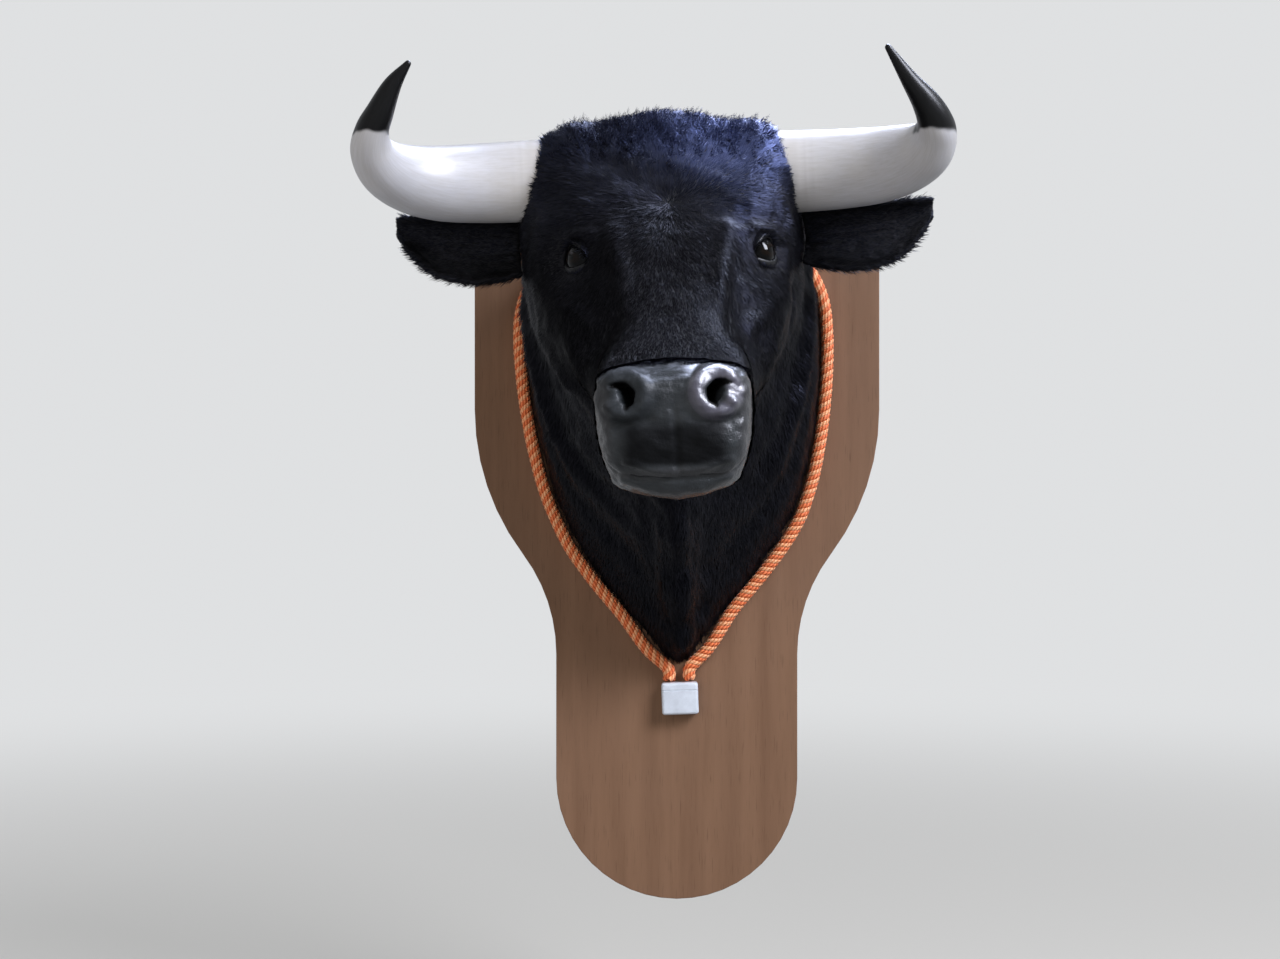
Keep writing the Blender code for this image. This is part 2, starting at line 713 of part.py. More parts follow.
def build_nails(plaque, hanger):
    """Two nails through the hanger's ends into the board, each with its hole."""
    top = RECESS_DEEP - GAP - HANGER_THICK - GAP - NAIL_HEAD_THICK
    under = top + NAIL_HEAD_THICK
    end = RECESS_DEEP + NAIL_LONG
    nail_profile = [(0, top), (NAIL_HEAD_R, top), (NAIL_HEAD_R, under)]
    nail_profile += [(NAIL_R, under), (NAIL_R, end), (0, end)]
    hole_profile = [(0, under), (NAIL_R + GAP, under), (NAIL_R + GAP, end + GAP), (0, end + GAP)]
    for word, side in (("left", -1), ("right", 1)):
        nail = turned(f"hanger_nail_{word}", nail_profile, STEEL, 10)
        hole = turned(f"nail_hole_{word}", hole_profile, None, 10)
        for obj in (nail, hole):
            obj.location = (side * NAIL_AT_X, 0, HANGER_Z)
        as_cutter(hole)
        boolean(plaque, hole)
        boolean(hanger, hole)
        smooth_shading(nail)


def build():
    plaque = build_plaque()
    boolean(plaque, build_recess())
    build_nails(plaque, build_hanger())

    lean = bpy.data.objects.new("head_lean", None)
    PARTS.objects.link(lean)
    lean.rotation_euler = (0, -math.radians(HEAD_LEAN_DEG), 0)

    head = build_head_form()
    smooth_shading(head, 60)
    head_clearance = swollen(head, "head_clearance", GAP)
    muzzle = build_muzzle_form()
    boolean(muzzle, seat_block("behind_seat", GAP / 2, -0.05))
    boolean(head, seat_block("before_seat", -GAP / 2, 0.08))
    on_head = [head, muzzle, head_clearance]
    for word, side in (("left", -1), ("right", 1)):
        lid = build_lid(side)
        boolean(head, lid, "UNION")
        eye = build_eye(f"eye_{word}", side)
        socket = ellipsoid(f"socket_{word}", eye.location, (EYE_R + GAP,) * 3, EYE_SEGMENTS, EYE_RINGS)
        boolean(head, as_cutter(socket))
        horn = build_horn(f"horn_{word}", word, side)
        horn_socket = as_cutter(build_horn(f"horn_socket_{word}", word, side, GAP))
        boolean(head, horn_socket)
        ear = build_ear(f"ear_{word}", side)
        boolean(ear, head_clearance)
        nostril_at = to_frame([NOSTRIL_AT])[0] * np.array((side, 1, 1))
        nostril_at[0] += NOSTRIL_ASIDE * MM
        nostril = ellipsoid(f"nostril_{word}", nostril_at, [r * MM for r in NOSTRIL_RADII], 14, 8)
        tilt, turn = math.radians(NOSTRIL_TILT_DEG), math.radians(NOSTRIL_TURN_DEG)
        nostril.rotation_euler = (0, side * tilt, side * turn)
        boolean(muzzle, as_cutter(nostril))
        slit = build_nostril_slit(word, side, muzzle)
        boolean(muzzle, slit)
        on_head += [lid, eye, socket, horn, horn_socket, ear, nostril, slit]
    mouth_route = [(-x, y, z) for x, y, z in reversed(MOUTH_LINE[1:])] + list(MOUTH_LINE)
    mouth_points = on_surface(muzzle, to_frame(even_line(mouth_route, 17)))
    mouth_radii = [MOUTH_R * MM] * len(mouth_points)
    mouth = frozen(tube("mouth", mouth_points, mouth_radii, GREY_MUZZLE, 1), "mouth_groove", None)
    boolean(muzzle, as_cutter(mouth))
    cord = build_cord()
    clasp = build_clasp()
    on_head += [mouth, cord, clasp]
    for obj in on_head:
        obj.parent = lean
    board_block = build_block("board_block", (-0.3, -PLAQUE_THICK - GAP, -0.4), (0.3, 0.1, 0.4))
    boolean(head, as_cutter(board_block))


build()
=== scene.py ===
import math

import bmesh
import bpy
import numpy as np
from mathutils import Matrix, Vector


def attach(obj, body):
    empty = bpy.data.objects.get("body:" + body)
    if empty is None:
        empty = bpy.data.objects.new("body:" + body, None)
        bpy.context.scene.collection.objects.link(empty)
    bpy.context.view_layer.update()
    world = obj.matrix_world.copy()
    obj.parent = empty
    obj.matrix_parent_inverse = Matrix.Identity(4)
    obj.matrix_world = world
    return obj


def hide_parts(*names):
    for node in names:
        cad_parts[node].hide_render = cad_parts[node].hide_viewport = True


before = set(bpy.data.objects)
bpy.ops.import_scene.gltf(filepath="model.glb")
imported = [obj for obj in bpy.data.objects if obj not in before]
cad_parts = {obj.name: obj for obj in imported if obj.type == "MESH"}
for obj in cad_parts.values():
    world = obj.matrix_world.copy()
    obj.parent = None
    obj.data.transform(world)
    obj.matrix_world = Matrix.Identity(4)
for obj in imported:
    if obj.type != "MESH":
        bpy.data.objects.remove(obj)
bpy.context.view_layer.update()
body = "root"

# The head leans a little to one side of the board. Places on the head are written upright,
# as (aside, forward, up) in mm, and toRow turns them into the leaning head in metres.
leanDeg = 2.0
leanTable = np.array(Matrix.Rotation(-math.radians(leanDeg), 3, "Y"))

# the muzzle sits on a slanted cut of the face
seat = {"forward": 420.5, "foot": -53, "slope": 0.1435}


def toRow(places):
    p = np.asarray(places, float) * 0.001
    return np.stack([p[..., 0], -p[..., 1], p[..., 2]], axis=-1) @ leanTable.T


def toHead(points):
    p = np.asarray(points, float) @ leanTable * 1000
    return np.stack([p[..., 0], -p[..., 1], p[..., 2]], axis=-1)


def pastSeat(heads):
    # how far a place lies ahead of the muzzle's seat, in mm
    return heads[:, 1] - seat["forward"] - (heads[:, 2] - seat["foot"]) * seat["slope"]


def drawIn(places):
    # low on the board the neck and its cord hang a little to one side and are drawn in, in mm
    p = np.array(places, float)
    share = np.clip((-85 - p[..., 2]) / 95, 0, 1) * np.clip((300 - p[..., 1]) / 100, 0, 1)
    p[..., 0] += share * (-6 - 3.6 * np.clip(p[..., 0] / 60, -1, 1))
    return p


# small helpers for meshes


def pointsOf(mesh):
    flat = np.empty(len(mesh.vertices) * 3)
    mesh.vertices.foreach_get("co", flat)
    return flat.reshape(-1, 3)


def normalsOf(mesh):
    flat = np.empty(len(mesh.vertices) * 3)
    mesh.vertices.foreach_get("normal", flat)
    return flat.reshape(-1, 3)


def movePoints(mesh, points):
    mesh.vertices.foreach_set("co", np.asarray(points, np.float32).ravel())
    mesh.update()


def storeValues(mesh, **named):
    for name, values in named.items():
        values = np.asarray(values, np.float32)
        kind, key = ("FLOAT_VECTOR", "vector") if values.ndim == 2 else ("FLOAT", "value")
        mesh.attributes.new(name, kind, "POINT").data.foreach_set(key, values.ravel())


def unit(ways):
    return ways / np.maximum(np.linalg.norm(ways, axis=1, keepdims=True), 1e-6)


def newPiece(name, mesh, *finishes):
    piece = bpy.data.objects.new(name, mesh)
    bpy.context.scene.collection.objects.link(piece)
    for finish in finishes:
        mesh.materials.append(finish)
    return piece


def bakeModifiers(piece):
    # the evaluated shape becomes the piece's own plain mesh
    graph = bpy.context.evaluated_depsgraph_get()
    graph.update()
    mesh = bpy.data.meshes.new_from_object(piece.evaluated_get(graph), depsgraph=graph)
    mesh.name = piece.name
    if piece.type == "MESH":
        piece.modifiers.clear()
        piece.data = mesh
        return piece
    name = piece.name
    bpy.data.objects.remove(piece, do_unlink=True)
    made = newPiece(name, mesh)
    made.name = name
    return made


def copyNode(node, name):
    work = bmesh.new()
    work.from_mesh(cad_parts[node].data)
    bmesh.ops.remove_doubles(work, verts=work.verts, dist=1e-6)
    return newPiece(name, meshFrom(work, name))


def refine(piece, voxel, rounds):
    # even, soft mesh over a faceted one
    even = piece.modifiers.new("even", "REMESH")
    even.mode, even.voxel_size, even.use_smooth_shade = "VOXEL", voxel, True
    soft = piece.modifiers.new("soft", "SMOOTH")
    soft.factor, soft.iterations = 0.5, rounds
    return bakeModifiers(piece)


def liftBy(mesh, heights):
    # moves each point along its normal, in mm
    movePoints(mesh, pointsOf(mesh) + normalsOf(mesh) * (heights * 0.001)[:, None])


def layFlat(ways, normals):
    # ways on the head, turned to the frame and laid flat on the surface
    flow = np.stack([ways[:, 0], -ways[:, 1], ways[:, 2]], axis=1) @ leanTable.T
    flow -= normals * (flow * normals).sum(axis=1, keepdims=True)
    return unit(flow)


def turnFlow(flow, normals, turn):
    return flow * np.cos(turn)[:, None] + np.cross(normals, flow) * np.sin(turn)[:, None]


def hump(*parts):
    # 1 in the middle of a soft mound and 0 far from it: (values, middle, reach) each way
    return np.exp(sum(-(((values - middle) / reach) ** 2) for values, middle, reach in parts))


def meshFrom(work, name):
    mesh = bpy.data.meshes.new(name)
    work.to_mesh(mesh)
    work.free()
    return mesh


def turnOut(mesh, mergeDistance=None):
    # faces point outwards, over merged points where a distance is given
    work = bmesh.new()
    work.from_mesh(mesh)
    if mergeDistance:
        bmesh.ops.remove_doubles(work, verts=work.verts, dist=mergeDistance)
    bmesh.ops.recalc_face_normals(work, faces=work.faces)
    work.to_mesh(mesh)
    work.free()


def softSteps(values, low, high):
    t = np.clip((values - low) / (high - low), 0, 1)
    return t * t * (3 - 2 * t)


def lineDistance(points, line):
    best = np.full(len(points), 1e9)
    line = np.asarray(line, float)
    for a, b in zip(line, line[1:]):
        share = np.clip((points - a) @ (b - a) / ((b - a) @ (b - a)), 0, 1)
        best = np.minimum(best, np.linalg.norm(points - a - share[:, None] * (b - a), axis=1))
    return best


def relax(piece, weights, rounds):
    # smooths the surface where the weights ask for it
    group = piece.vertex_groups.new(name="relax")
    for i in np.nonzero(weights > 0.01)[0]:
        group.add([int(i)], float(weights[i]), "REPLACE")
    soft = piece.modifiers.new("relax", "SMOOTH")
    soft.factor, soft.iterations, soft.vertex_group = 0.5, rounds, group.name
    return bakeModifiers(piece)


def mound(far):
    # 1 on the line and 0 from a distance of 1
    return np.clip(1 - far**2, 0, None) ** 3


def shape(piece, strokes):
    # each stroke raises or sinks the surface along a line: name, line, reach and height, in mm
    heads = toHead(pointsOf(piece.data))
    lift = np.zeros(len(heads))
    for _, line, reach, height in strokes:
        line = np.asarray(line, float)
        sides = (1, -1) if np.abs(line[:, 0]).max() > 1 else (1,)
        for side in sides:
            lift += height * mound(lineDistance(heads, line * (side, 1, 1)) / (1.8 * reach))
    liftBy(piece.data, lift)


def ripple(points, size, turns=5, seed=1):
    # a soft, uneven wave over space between about -1 and 1, from a few crossed sine waves
    rng = np.random.default_rng(seed)
    total = np.zeros(len(points))
    for _ in range(turns):
        way = rng.normal(size=3)
        way *= 2 * math.pi / (size * np.linalg.norm(way) * rng.uniform(0.7, 1.5))
        total += np.sin(points @ way + rng.uniform(0, 2 * math.pi))
    return total / math.sqrt(turns)


# small helpers for node trees


def addNode(tree, kind, inputs=None, **settings):
    made = tree.nodes.new(kind)
    for key, value in settings.items():
        setattr(made, key, value)
    for key, value in (inputs or {}).items():
        if isinstance(value, bpy.types.NodeSocket):
            tree.links.new(value, made.inputs[key])
        else:
            made.inputs[key].default_value = value
    return made


def newTree(name, sockets):
    tree = bpy.data.node_groups.new(name, "GeometryNodeTree")
    tree.interface.new_socket("Geometry", in_out="INPUT", socket_type="NodeSocketGeometry")
    tree.interface.new_socket("Geometry", in_out="OUTPUT", socket_type="NodeSocketGeometry")
    for label, kind in sockets.items():
        tree.interface.new_socket(label, in_out="INPUT", socket_type="NodeSocket" + kind)
    source = tree.nodes.new("NodeGroupInput")
    result = tree.nodes.new("NodeGroupOutput")
    return tree, source.outputs, result.inputs["Geometry"]


def runTree(piece, tree, values):
    modifier = piece.modifiers.new(tree.name, "NODES")
    modifier.node_group = tree
    for item in tree.interface.items_tree:
        if item.item_type == "SOCKET" and item.in_out == "INPUT" and item.name in values:
            modifier[item.identifier] = values[item.name]
    return bakeModifiers(piece)


def calc(tree, operation, a, b=0.0, c=None):
    inputs = {0: a, 1: b} if c is None else {0: a, 1: b, 2: c}
    return addNode(tree, "ShaderNodeMath", inputs, operation=operation).outputs[0]


def vector(tree, operation, a, b=None, scale=None):
    inputs = {0: a}
    if b is not None:
        inputs[1] = b
    if scale is not None:
        inputs["Scale"] = scale
    made = addNode(tree, "ShaderNodeVectorMath", inputs, operation=operation)
    return made.outputs["Value" if operation == "LENGTH" else "Vector"]


# finishes


def newFinish(name, colour, roughness, **values):
    finish = bpy.data.materials.new(name)
    finish.use_nodes = True
    tree = finish.node_tree
    shader = tree.nodes["Principled BSDF"]
    shader.inputs["Base Color"].default_value = (*colour, 1)
    shader.inputs["Roughness"].default_value = roughness
    for key, value in values.items():
        shader.inputs[key.replace("_", " ")].default_value = value
    return finish, tree, shader


def place(tree, scale=(1, 1, 1), turn=(0, 0, 0)):
    # Object coordinates, stretched and turned for a pattern
    coordinates = addNode(tree, "ShaderNodeTexCoord").outputs["Object"]
    inputs = {"Vector": coordinates, "Scale": scale, "Rotation": turn}
    return addNode(tree, "ShaderNodeMapping", inputs).outputs["Vector"]


def noiseOf(tree, where, scale, detail=4.0, roughness=0.55, distortion=0.0):
    inputs = {"Vector": where, "Scale": scale, "Detail": detail, "Roughness": roughness}
    inputs["Distortion"] = distortion
    return addNode(tree, "ShaderNodeTexNoise", inputs).outputs["Fac"]


def ramp(tree, value, stops):
    made = addNode(tree, "ShaderNodeValToRGB", {"Fac": value})
    steps = made.color_ramp.elements
    while len(steps) < len(stops):
        steps.new(1.0)
    for step, (at, colour) in zip(steps, stops):
        step.position = at
        step.color = (*colour, 1)
    return made.outputs["Color"]


def span(tree, value, low, high, fromLow=0.0, fromHigh=1.0, **settings):
    inputs = {"Value": value, "From Min": fromLow, "From Max": fromHigh, "To Min": low, "To Max": high}
    return addNode(tree, "ShaderNodeMapRange", inputs, **settings).outputs["Result"]


def mixColours(tree, share, a, b, blend="MIX"):
    made = addNode(tree, "ShaderNodeMix", {0: share}, data_type="RGBA", blend_type=blend)
    for index, value in ((6, a), (7, b)):
        if isinstance(value, bpy.types.NodeSocket):
            tree.links.new(value, made.inputs[index])
        else:
            made.inputs[index].default_value = (*value, 1)
    return made.outputs[2]


def bump(tree, shader, height, strength, distance, base=None):
    inputs = {"Height": height, "Strength": strength, "Distance": distance}
    if base is not None:
        inputs["Normal"] = base
    made = addNode(tree, "ShaderNodeBump", inputs).outputs["Normal"]
    tree.links.new(made, shader.inputs["Normal"])
    return made


def valueOf(tree, name):
    return addNode(tree, "ShaderNodeAttribute", attribute_name=name).outputs["Fac"]


def vectorOf(tree, name):
    return addNode(tree, "ShaderNodeAttribute", attribute_name=name).outputs["Vector"]


def namedValue(tree, name, kind="FLOAT"):
    inputs = {"Name": name}
    return addNode(tree, "GeometryNodeInputNamedAttribute", inputs, data_type=kind).outputs[0]


def storeOn(tree, geometry, name, value, kind="FLOAT", domain="POINT"):
    inputs = {"Geometry": geometry, "Name": name, "Value": value}
    made = addNode(tree, "GeometryNodeStoreNamedAttribute", inputs, data_type=kind, domain=domain)
    return made.outputs[0]


def randomValue(tree, seed, low, high, kind="FLOAT"):
    made = addNode(tree, "FunctionNodeRandomValue", {"Seed": seed}, data_type=kind)
    first = 0 if kind == "FLOAT_VECTOR" else 2
    made.inputs[first].default_value, made.inputs[first + 1].default_value = low, high
    return made.outputs[first // 2]


def finishTree(tree, geometry, finish, result):
    # instances become real, because the export drops them
    real = addNode(tree, "GeometryNodeRealizeInstances", {"Geometry": geometry}).outputs[0]
    done = addNode(tree, "GeometryNodeSetMaterial", {"Geometry": real, "Material": finish})
    tree.links.new(done.outputs[0], result)
    return tree


def feed(tree, shader, **sockets):
    for name, value in sockets.items():
        tree.links.new(value, shader.inputs[name.replace("_", " ")])


def greatest(tree, first, *others):
    for other in others:
        first = calc(tree, "MAXIMUM", first, other)
    return first


def makeHideFinish():
    finish, tree, shader = newFinish("blackHide", (0.006, 0.006, 0.008), 0.7, Specular_IOR_Level=0.2)
    patches = noiseOf(tree, place(tree), 24, 5)
    colour = ramp(tree, patches, [(0.3, (0.004, 0.004, 0.005)), (0.7, (0.011, 0.011, 0.014))])
    feed(tree, shader, Base_Color=colour)
    strands = noiseOf(tree, place(tree, (1, 0.5, 0.16)), 900, 3, 0.6)
    bump(tree, shader, strands, 0.6, 0.0012)
    return finish


def makeHairFinish(name, dark, light, roughness, sheen):
    # the gloss attribute sets the hair's specular level and its blue-tinted reflection; where it is high, on
    # the crown and the forehead, a blue sheen is also painted into the base colour, and hair out of it is a
    # plain black
    finish, tree, shader = newFinish(name, dark, roughness, Specular_IOR_Level=0.4 * sheen)
    shader.inputs["Specular Tint"].default_value = (0.50, 0.57, 1.0, 1)
    gloss = valueOf(tree, "gloss")
    blue = span(tree, gloss, 0.0, 1.0, 0.35, 1.1)
    # painted sheen: the base colour turns blue where the gloss map runs high
    paintedBlueSheen = span(tree, gloss, 0.0, 0.9, 1.2, 3.0)
    patches = noiseOf(tree, place(tree), 30, 3)
    tone = calc(tree, "MULTIPLY", valueOf(tree, "tone"), calc(tree, "ADD", patches, 0.45))
    colour = ramp(tree, tone, [(0.1, dark), (0.9, light)])
    feed(
        tree,
        shader,
        Specular_Tint=mixColours(tree, blue, (0.58, 0.63, 1.0), (0.31, 0.42, 1.0)),
        Base_Color=mixColours(tree, paintedBlueSheen, colour, (0.036, 0.043, 0.090)),
        Roughness=span(tree, patches, roughness - 0.08, roughness + 0.12),
        Specular_IOR_Level=calc(tree, "MULTIPLY", gloss, sheen),
    )
    return finish


def makeNoseFinish():
    finish, tree, shader = newFinish(
        "noseLeather",
        (0.02, 0.021, 0.023),
        0.36,
        Specular_IOR_Level=0.35,
        Coat_Weight=0.3,
        Coat_Roughness=0.3,
    )
    lip, rim, hollow, ring, furred, dry = (
        valueOf(tree, name) for name in ("lip", "rim", "hollow", "ring", "furred", "dry")
    )
    where = place(tree)
    patches = noiseOf(tree, where, 38, 5, 0.6)
    rim = calc(tree, "MULTIPLY", rim, span(tree, patches, 0.5, 1.0, 0.3, 0.7))
    colour = ramp(
        tree,
        patches,
        [(0.28, (0.012, 0.0135, 0.015)), (0.55, (0.023, 0.026, 0.029)), (0.8, (0.036, 0.040, 0.043))],
    )
    for share, other in (
        # painted highlight: the muzzle's side and bottom edges and the lip arcs are paler
        (rim, (0.034, 0.033, 0.035)),
        # painted shade: the lip, which faces down, is darker
        (lip, (0.006, 0.0063, 0.007)),
        # painted highlight: a pale lilac ring round the right nostril
        (ring, (0.060, 0.056, 0.078)),
        # painted shade: darker inside the nostrils
        (hollow, (0.005, 0.0045, 0.0045)),
        (furred, (0.009, 0.009, 0.010)),
    ):
        colour = mixColours(tree, share, colour, other)
    # glossier round the right nostril, where a pale lilac highlight is also painted into the colour; dull on
    # the lip, in the nostrils and under the hair
    dull = greatest(
        tree, lip, calc(tree, "MULTIPLY", rim, 0.45), furred, calc(tree, "MULTIPLY", hollow, 0.8), dry
    )
    pebbles = addNode(
        tree, "ShaderNodeTexVoronoi", {"Vector": where, "Scale": 330.0}, feature="DISTANCE_TO_EDGE"
    ).outputs["Distance"]
    grooves = ramp(tree, pebbles, [(0.0, (0, 0, 0)), (0.16, (1, 1, 1))])
    feed(
        tree,
        shader,
        Base_Color=colour,
        Specular_IOR_Level=calc(tree, "MULTIPLY_ADD", ring, 0.5, span(tree, dull, 0.5, 0.12)),
        Coat_Weight=calc(tree, "MULTIPLY_ADD", ring, 0.6, span(tree, dull, 0.4, 0.05)),
        Coat_Roughness=span(tree, ring, 0.22, 0.40),
        Roughness=greatest(tree, span(tree, grooves, 0.5, 0.33), calc(tree, "MULTIPLY", dull, 0.75)),
    )
    soft = bump(tree, shader, noiseOf(tree, where, 120, 4), 0.2, 0.0012)
    bump(tree, shader, grooves, 0.24, 0.0005, soft)
    return finish


def makeHornFinish():
    finish, tree, shader = newFinish(
        "polishedHorn",
        (0.6, 0.59, 0.57),
        0.3,
        Specular_IOR_Level=0.32,
        Coat_Weight=0.08,
        Coat_Roughness=0.28,
        Subsurface_Weight=0.05,
        Subsurface_Radius=(0.006, 0.005, 0.004),
    )
    along = valueOf(tree, "along")
    # long fibres: the pattern is stretched along the horn
    lengthwise = addNode(tree, "ShaderNodeCombineXYZ", {"Z": calc(tree, "MULTIPLY", along, 0.75)}).outputs[0]
    fibreAt = vector(tree, "SCALE", vector(tree, "ADD", vectorOf(tree, "around"), lengthwise), scale=3.0)
    fibres = noiseOf(tree, fibreAt, 6.5, 6, 0.62)
    clouds = noiseOf(tree, place(tree), 14, 4, 0.6)
    pale = ramp(
        tree, fibres, [(0.25, (0.45, 0.435, 0.44)), (0.5, (0.51, 0.50, 0.52)), (0.75, (0.56, 0.55, 0.585))]
    )
    pale = mixColours(tree, span(tree, clouds, 0.0, 0.35, 0.4, 0.75), pale, (0.58, 0.53, 0.45))
    pale = mixColours(tree, span(tree, along, 0.45, 0.0, 0.03, 0.24), pale, (0.50, 0.455, 0.39))  # root
    black = ramp(tree, fibres, [(0.3, (0.003, 0.003, 0.0032)), (0.8, (0.010, 0.0097, 0.0098))])
    feed(
        tree,
        shader,
        Base_Color=mixColours(tree, valueOf(tree, "tip"), pale, black),
        Roughness=span(tree, fibres, 0.30, 0.42),
    )
    bump(tree, shader, fibres, 0.07, 0.0009)
    return finish


def makeBoardFinish():
    finish, tree, shader = newFinish("brownBoard", (0.17, 0.10, 0.065), 0.6, Specular_IOR_Level=0.25)
    grain = noiseOf(tree, place(tree, (1, 1, 0.07)), 60, 7, 0.62, 0.3)
    upright = place(tree, (1, 1, 0.10), (0, 0.05, 0))
    inputs = {"Vector": upright, "Scale": 8.0, "Distortion": 6.5, "Detail": 3.0}
    rings = addNode(tree, "ShaderNodeTexWave", inputs, bands_direction="X").outputs["Fac"]
    colour = ramp(
        tree,
        grain,
        [(0.25, (0.172, 0.091, 0.051)), (0.52, (0.212, 0.115, 0.066)), (0.8, (0.244, 0.137, 0.081))],
    )
    colour = mixColours(tree, span(tree, rings, 0.0, 0.22), colour, (0.150, 0.078, 0.044))
    stains = noiseOf(tree, place(tree), 5.5, 4)
    colour = mixColours(tree, span(tree, stains, 0.0, 0.25, 0.42, 0.72), colour, (0.222, 0.129, 0.085))
    pores = noiseOf(tree, place(tree, (1, 1, 0.04)), 800, 2, 0.5)
    poreMask = ramp(tree, pores, [(0.60, (1, 1, 1)), (0.70, (0.74, 0.74, 0.74))])
    colour = mixColours(tree, 1.0, colour, poreMask, "MULTIPLY")
    feed(tree, shader, Base_Color=colour, Roughness=span(tree, grain, 0.5, 0.7))
    soft = bump(tree, shader, grain, 0.10, 0.0015)
    bump(tree, shader, poreMask, 0.2, 0.0003, soft)
    return finish


def makeYarnFinish(name, dark, mid, light):
    # fine twisted yarn: stripes that run round and along each strand
    finish, tree, shader = newFinish(
        name, mid, 0.62, Sheen_Weight=0.15, Sheen_Roughness=0.4, Specular_IOR_Level=0.25
    )
    around = addNode(tree, "ShaderNodeSeparateXYZ", {0: vectorOf(tree, "around")})
    turn = calc(tree, "ARCTAN2", around.outputs["Y"], around.outputs["X"])
    # four threads are laid round each strand, turn after turn
    slant = calc(tree, "MULTIPLY_ADD", turn, 4.0, calc(tree, "MULTIPLY", valueOf(tree, "run"), 2600.0))
    threads = calc(tree, "MULTIPLY_ADD", calc(tree, "SINE", slant), 0.5, 0.5)
    fuzz = noiseOf(tree, place(tree), 700, 3)
    both = calc(tree, "ADD", calc(tree, "MULTIPLY", threads, 0.6), calc(tree, "MULTIPLY", fuzz, 0.5))
    feed(tree, shader, Base_Color=ramp(tree, both, [(0.15, dark), (0.5, mid), (0.85, light)]))
    bump(tree, shader, both, 0.55, 0.0006)
    return finish


def makeClaspFinish():
    # pale blue-white: the blue in it is a painted reflection of the sky
    finish, tree, shader = newFinish("whiteClasp", (0.66, 0.70, 0.78), 0.28, Coat_Weight=0.3)
    dirt = noiseOf(tree, place(tree), 90, 5, 0.6)
    colour = ramp(
        tree, dirt, [(0.25, (0.56, 0.59, 0.65)), (0.6, (0.68, 0.72, 0.79)), (0.85, (0.74, 0.77, 0.83))]
    )
    feed(tree, shader, Base_Color=colour, Roughness=span(tree, dirt, 0.22, 0.42))
    bump(tree, shader, noiseOf(tree, place(tree), 420, 3), 0.06, 0.0005)
    return finish


def makeSteelFinish():
    finish, tree, shader = newFinish("zincSteel", (0.56, 0.56, 0.57), 0.34, Metallic=1.0)
    spangle = noiseOf(tree, place(tree), 260, 4)
    colour = ramp(tree, spangle, [(0.3, (0.40, 0.40, 0.41)), (0.75, (0.64, 0.64, 0.65))])
    feed(tree, shader, Base_Color=colour, Roughness=span(tree, spangle, 0.26, 0.48))
    return finish


def makeEyeFinish():
    finish, tree, shader = newFinish("eyeGlass", (0.004, 0.003, 0.003), 0.03, Specular_IOR_Level=0.28)
    fleck = noiseOf(tree, place(tree), 380, 4)
    black, brown = (0.002, 0.002, 0.002), (0.008, 0.004, 0.002)
    ring = ramp(
        tree,
        valueOf(tree, "iris"),
        [(0.0, black), (0.34, black), (0.46, brown), (0.72, (0.005, 0.003, 0.002)), (0.85, black)],
    )
    feed(tree, shader, Base_Color=mixColours(tree, 1.0, ring, span(tree, fleck, 0.5, 1.2), "MULTIPLY"))
    return finish


def makeLidFinish():
    finish, tree, shader = newFinish("lidSkin", (0.008, 0.008, 0.009), 0.42, Specular_IOR_Level=0.35)
    folds = noiseOf(tree, place(tree), 260, 5, 0.6)
    colour = ramp(tree, folds, [(0.3, (0.004, 0.004, 0.0045)), (0.75, (0.013, 0.013, 0.014))])
    feed(tree, shader, Base_Color=colour)
    bump(tree, shader, folds, 0.35, 0.0008)
    return finish


hideFinish = makeHideFinish()
coatFinish = makeHairFinish("coatHair", (0.0025, 0.0025, 0.003), (0.0105, 0.0103, 0.0125), 0.38, 0.30)
pollFinish = makeHairFinish("pollHair", (0.0015, 0.0015, 0.002), (0.012, 0.012, 0.018), 0.42, 0.28)
earFinish = makeHairFinish("earHair", (0.003, 0.003, 0.0033), (0.022, 0.0215, 0.0225), 0.48, 0.3)
noseFinish = makeNoseFinish()
hornFinish = makeHornFinish()
boardFinish = makeBoardFinish()
orangeFinish = makeYarnFinish("orangeYarn", (0.30, 0.042, 0.010), (0.70, 0.135, 0.036), (0.86, 0.24, 0.09))
goldFinish = makeYarnFinish("goldYarn", (0.48, 0.14, 0.045), (0.86, 0.33, 0.14), (0.95, 0.50, 0.27))
claspFinish = makeClaspFinish()
steelFinish = makeSteelFinish()
eyeFinish = makeEyeFinish()
lidFinish = makeLidFinish()
print("finishes made")


# head and neck skin

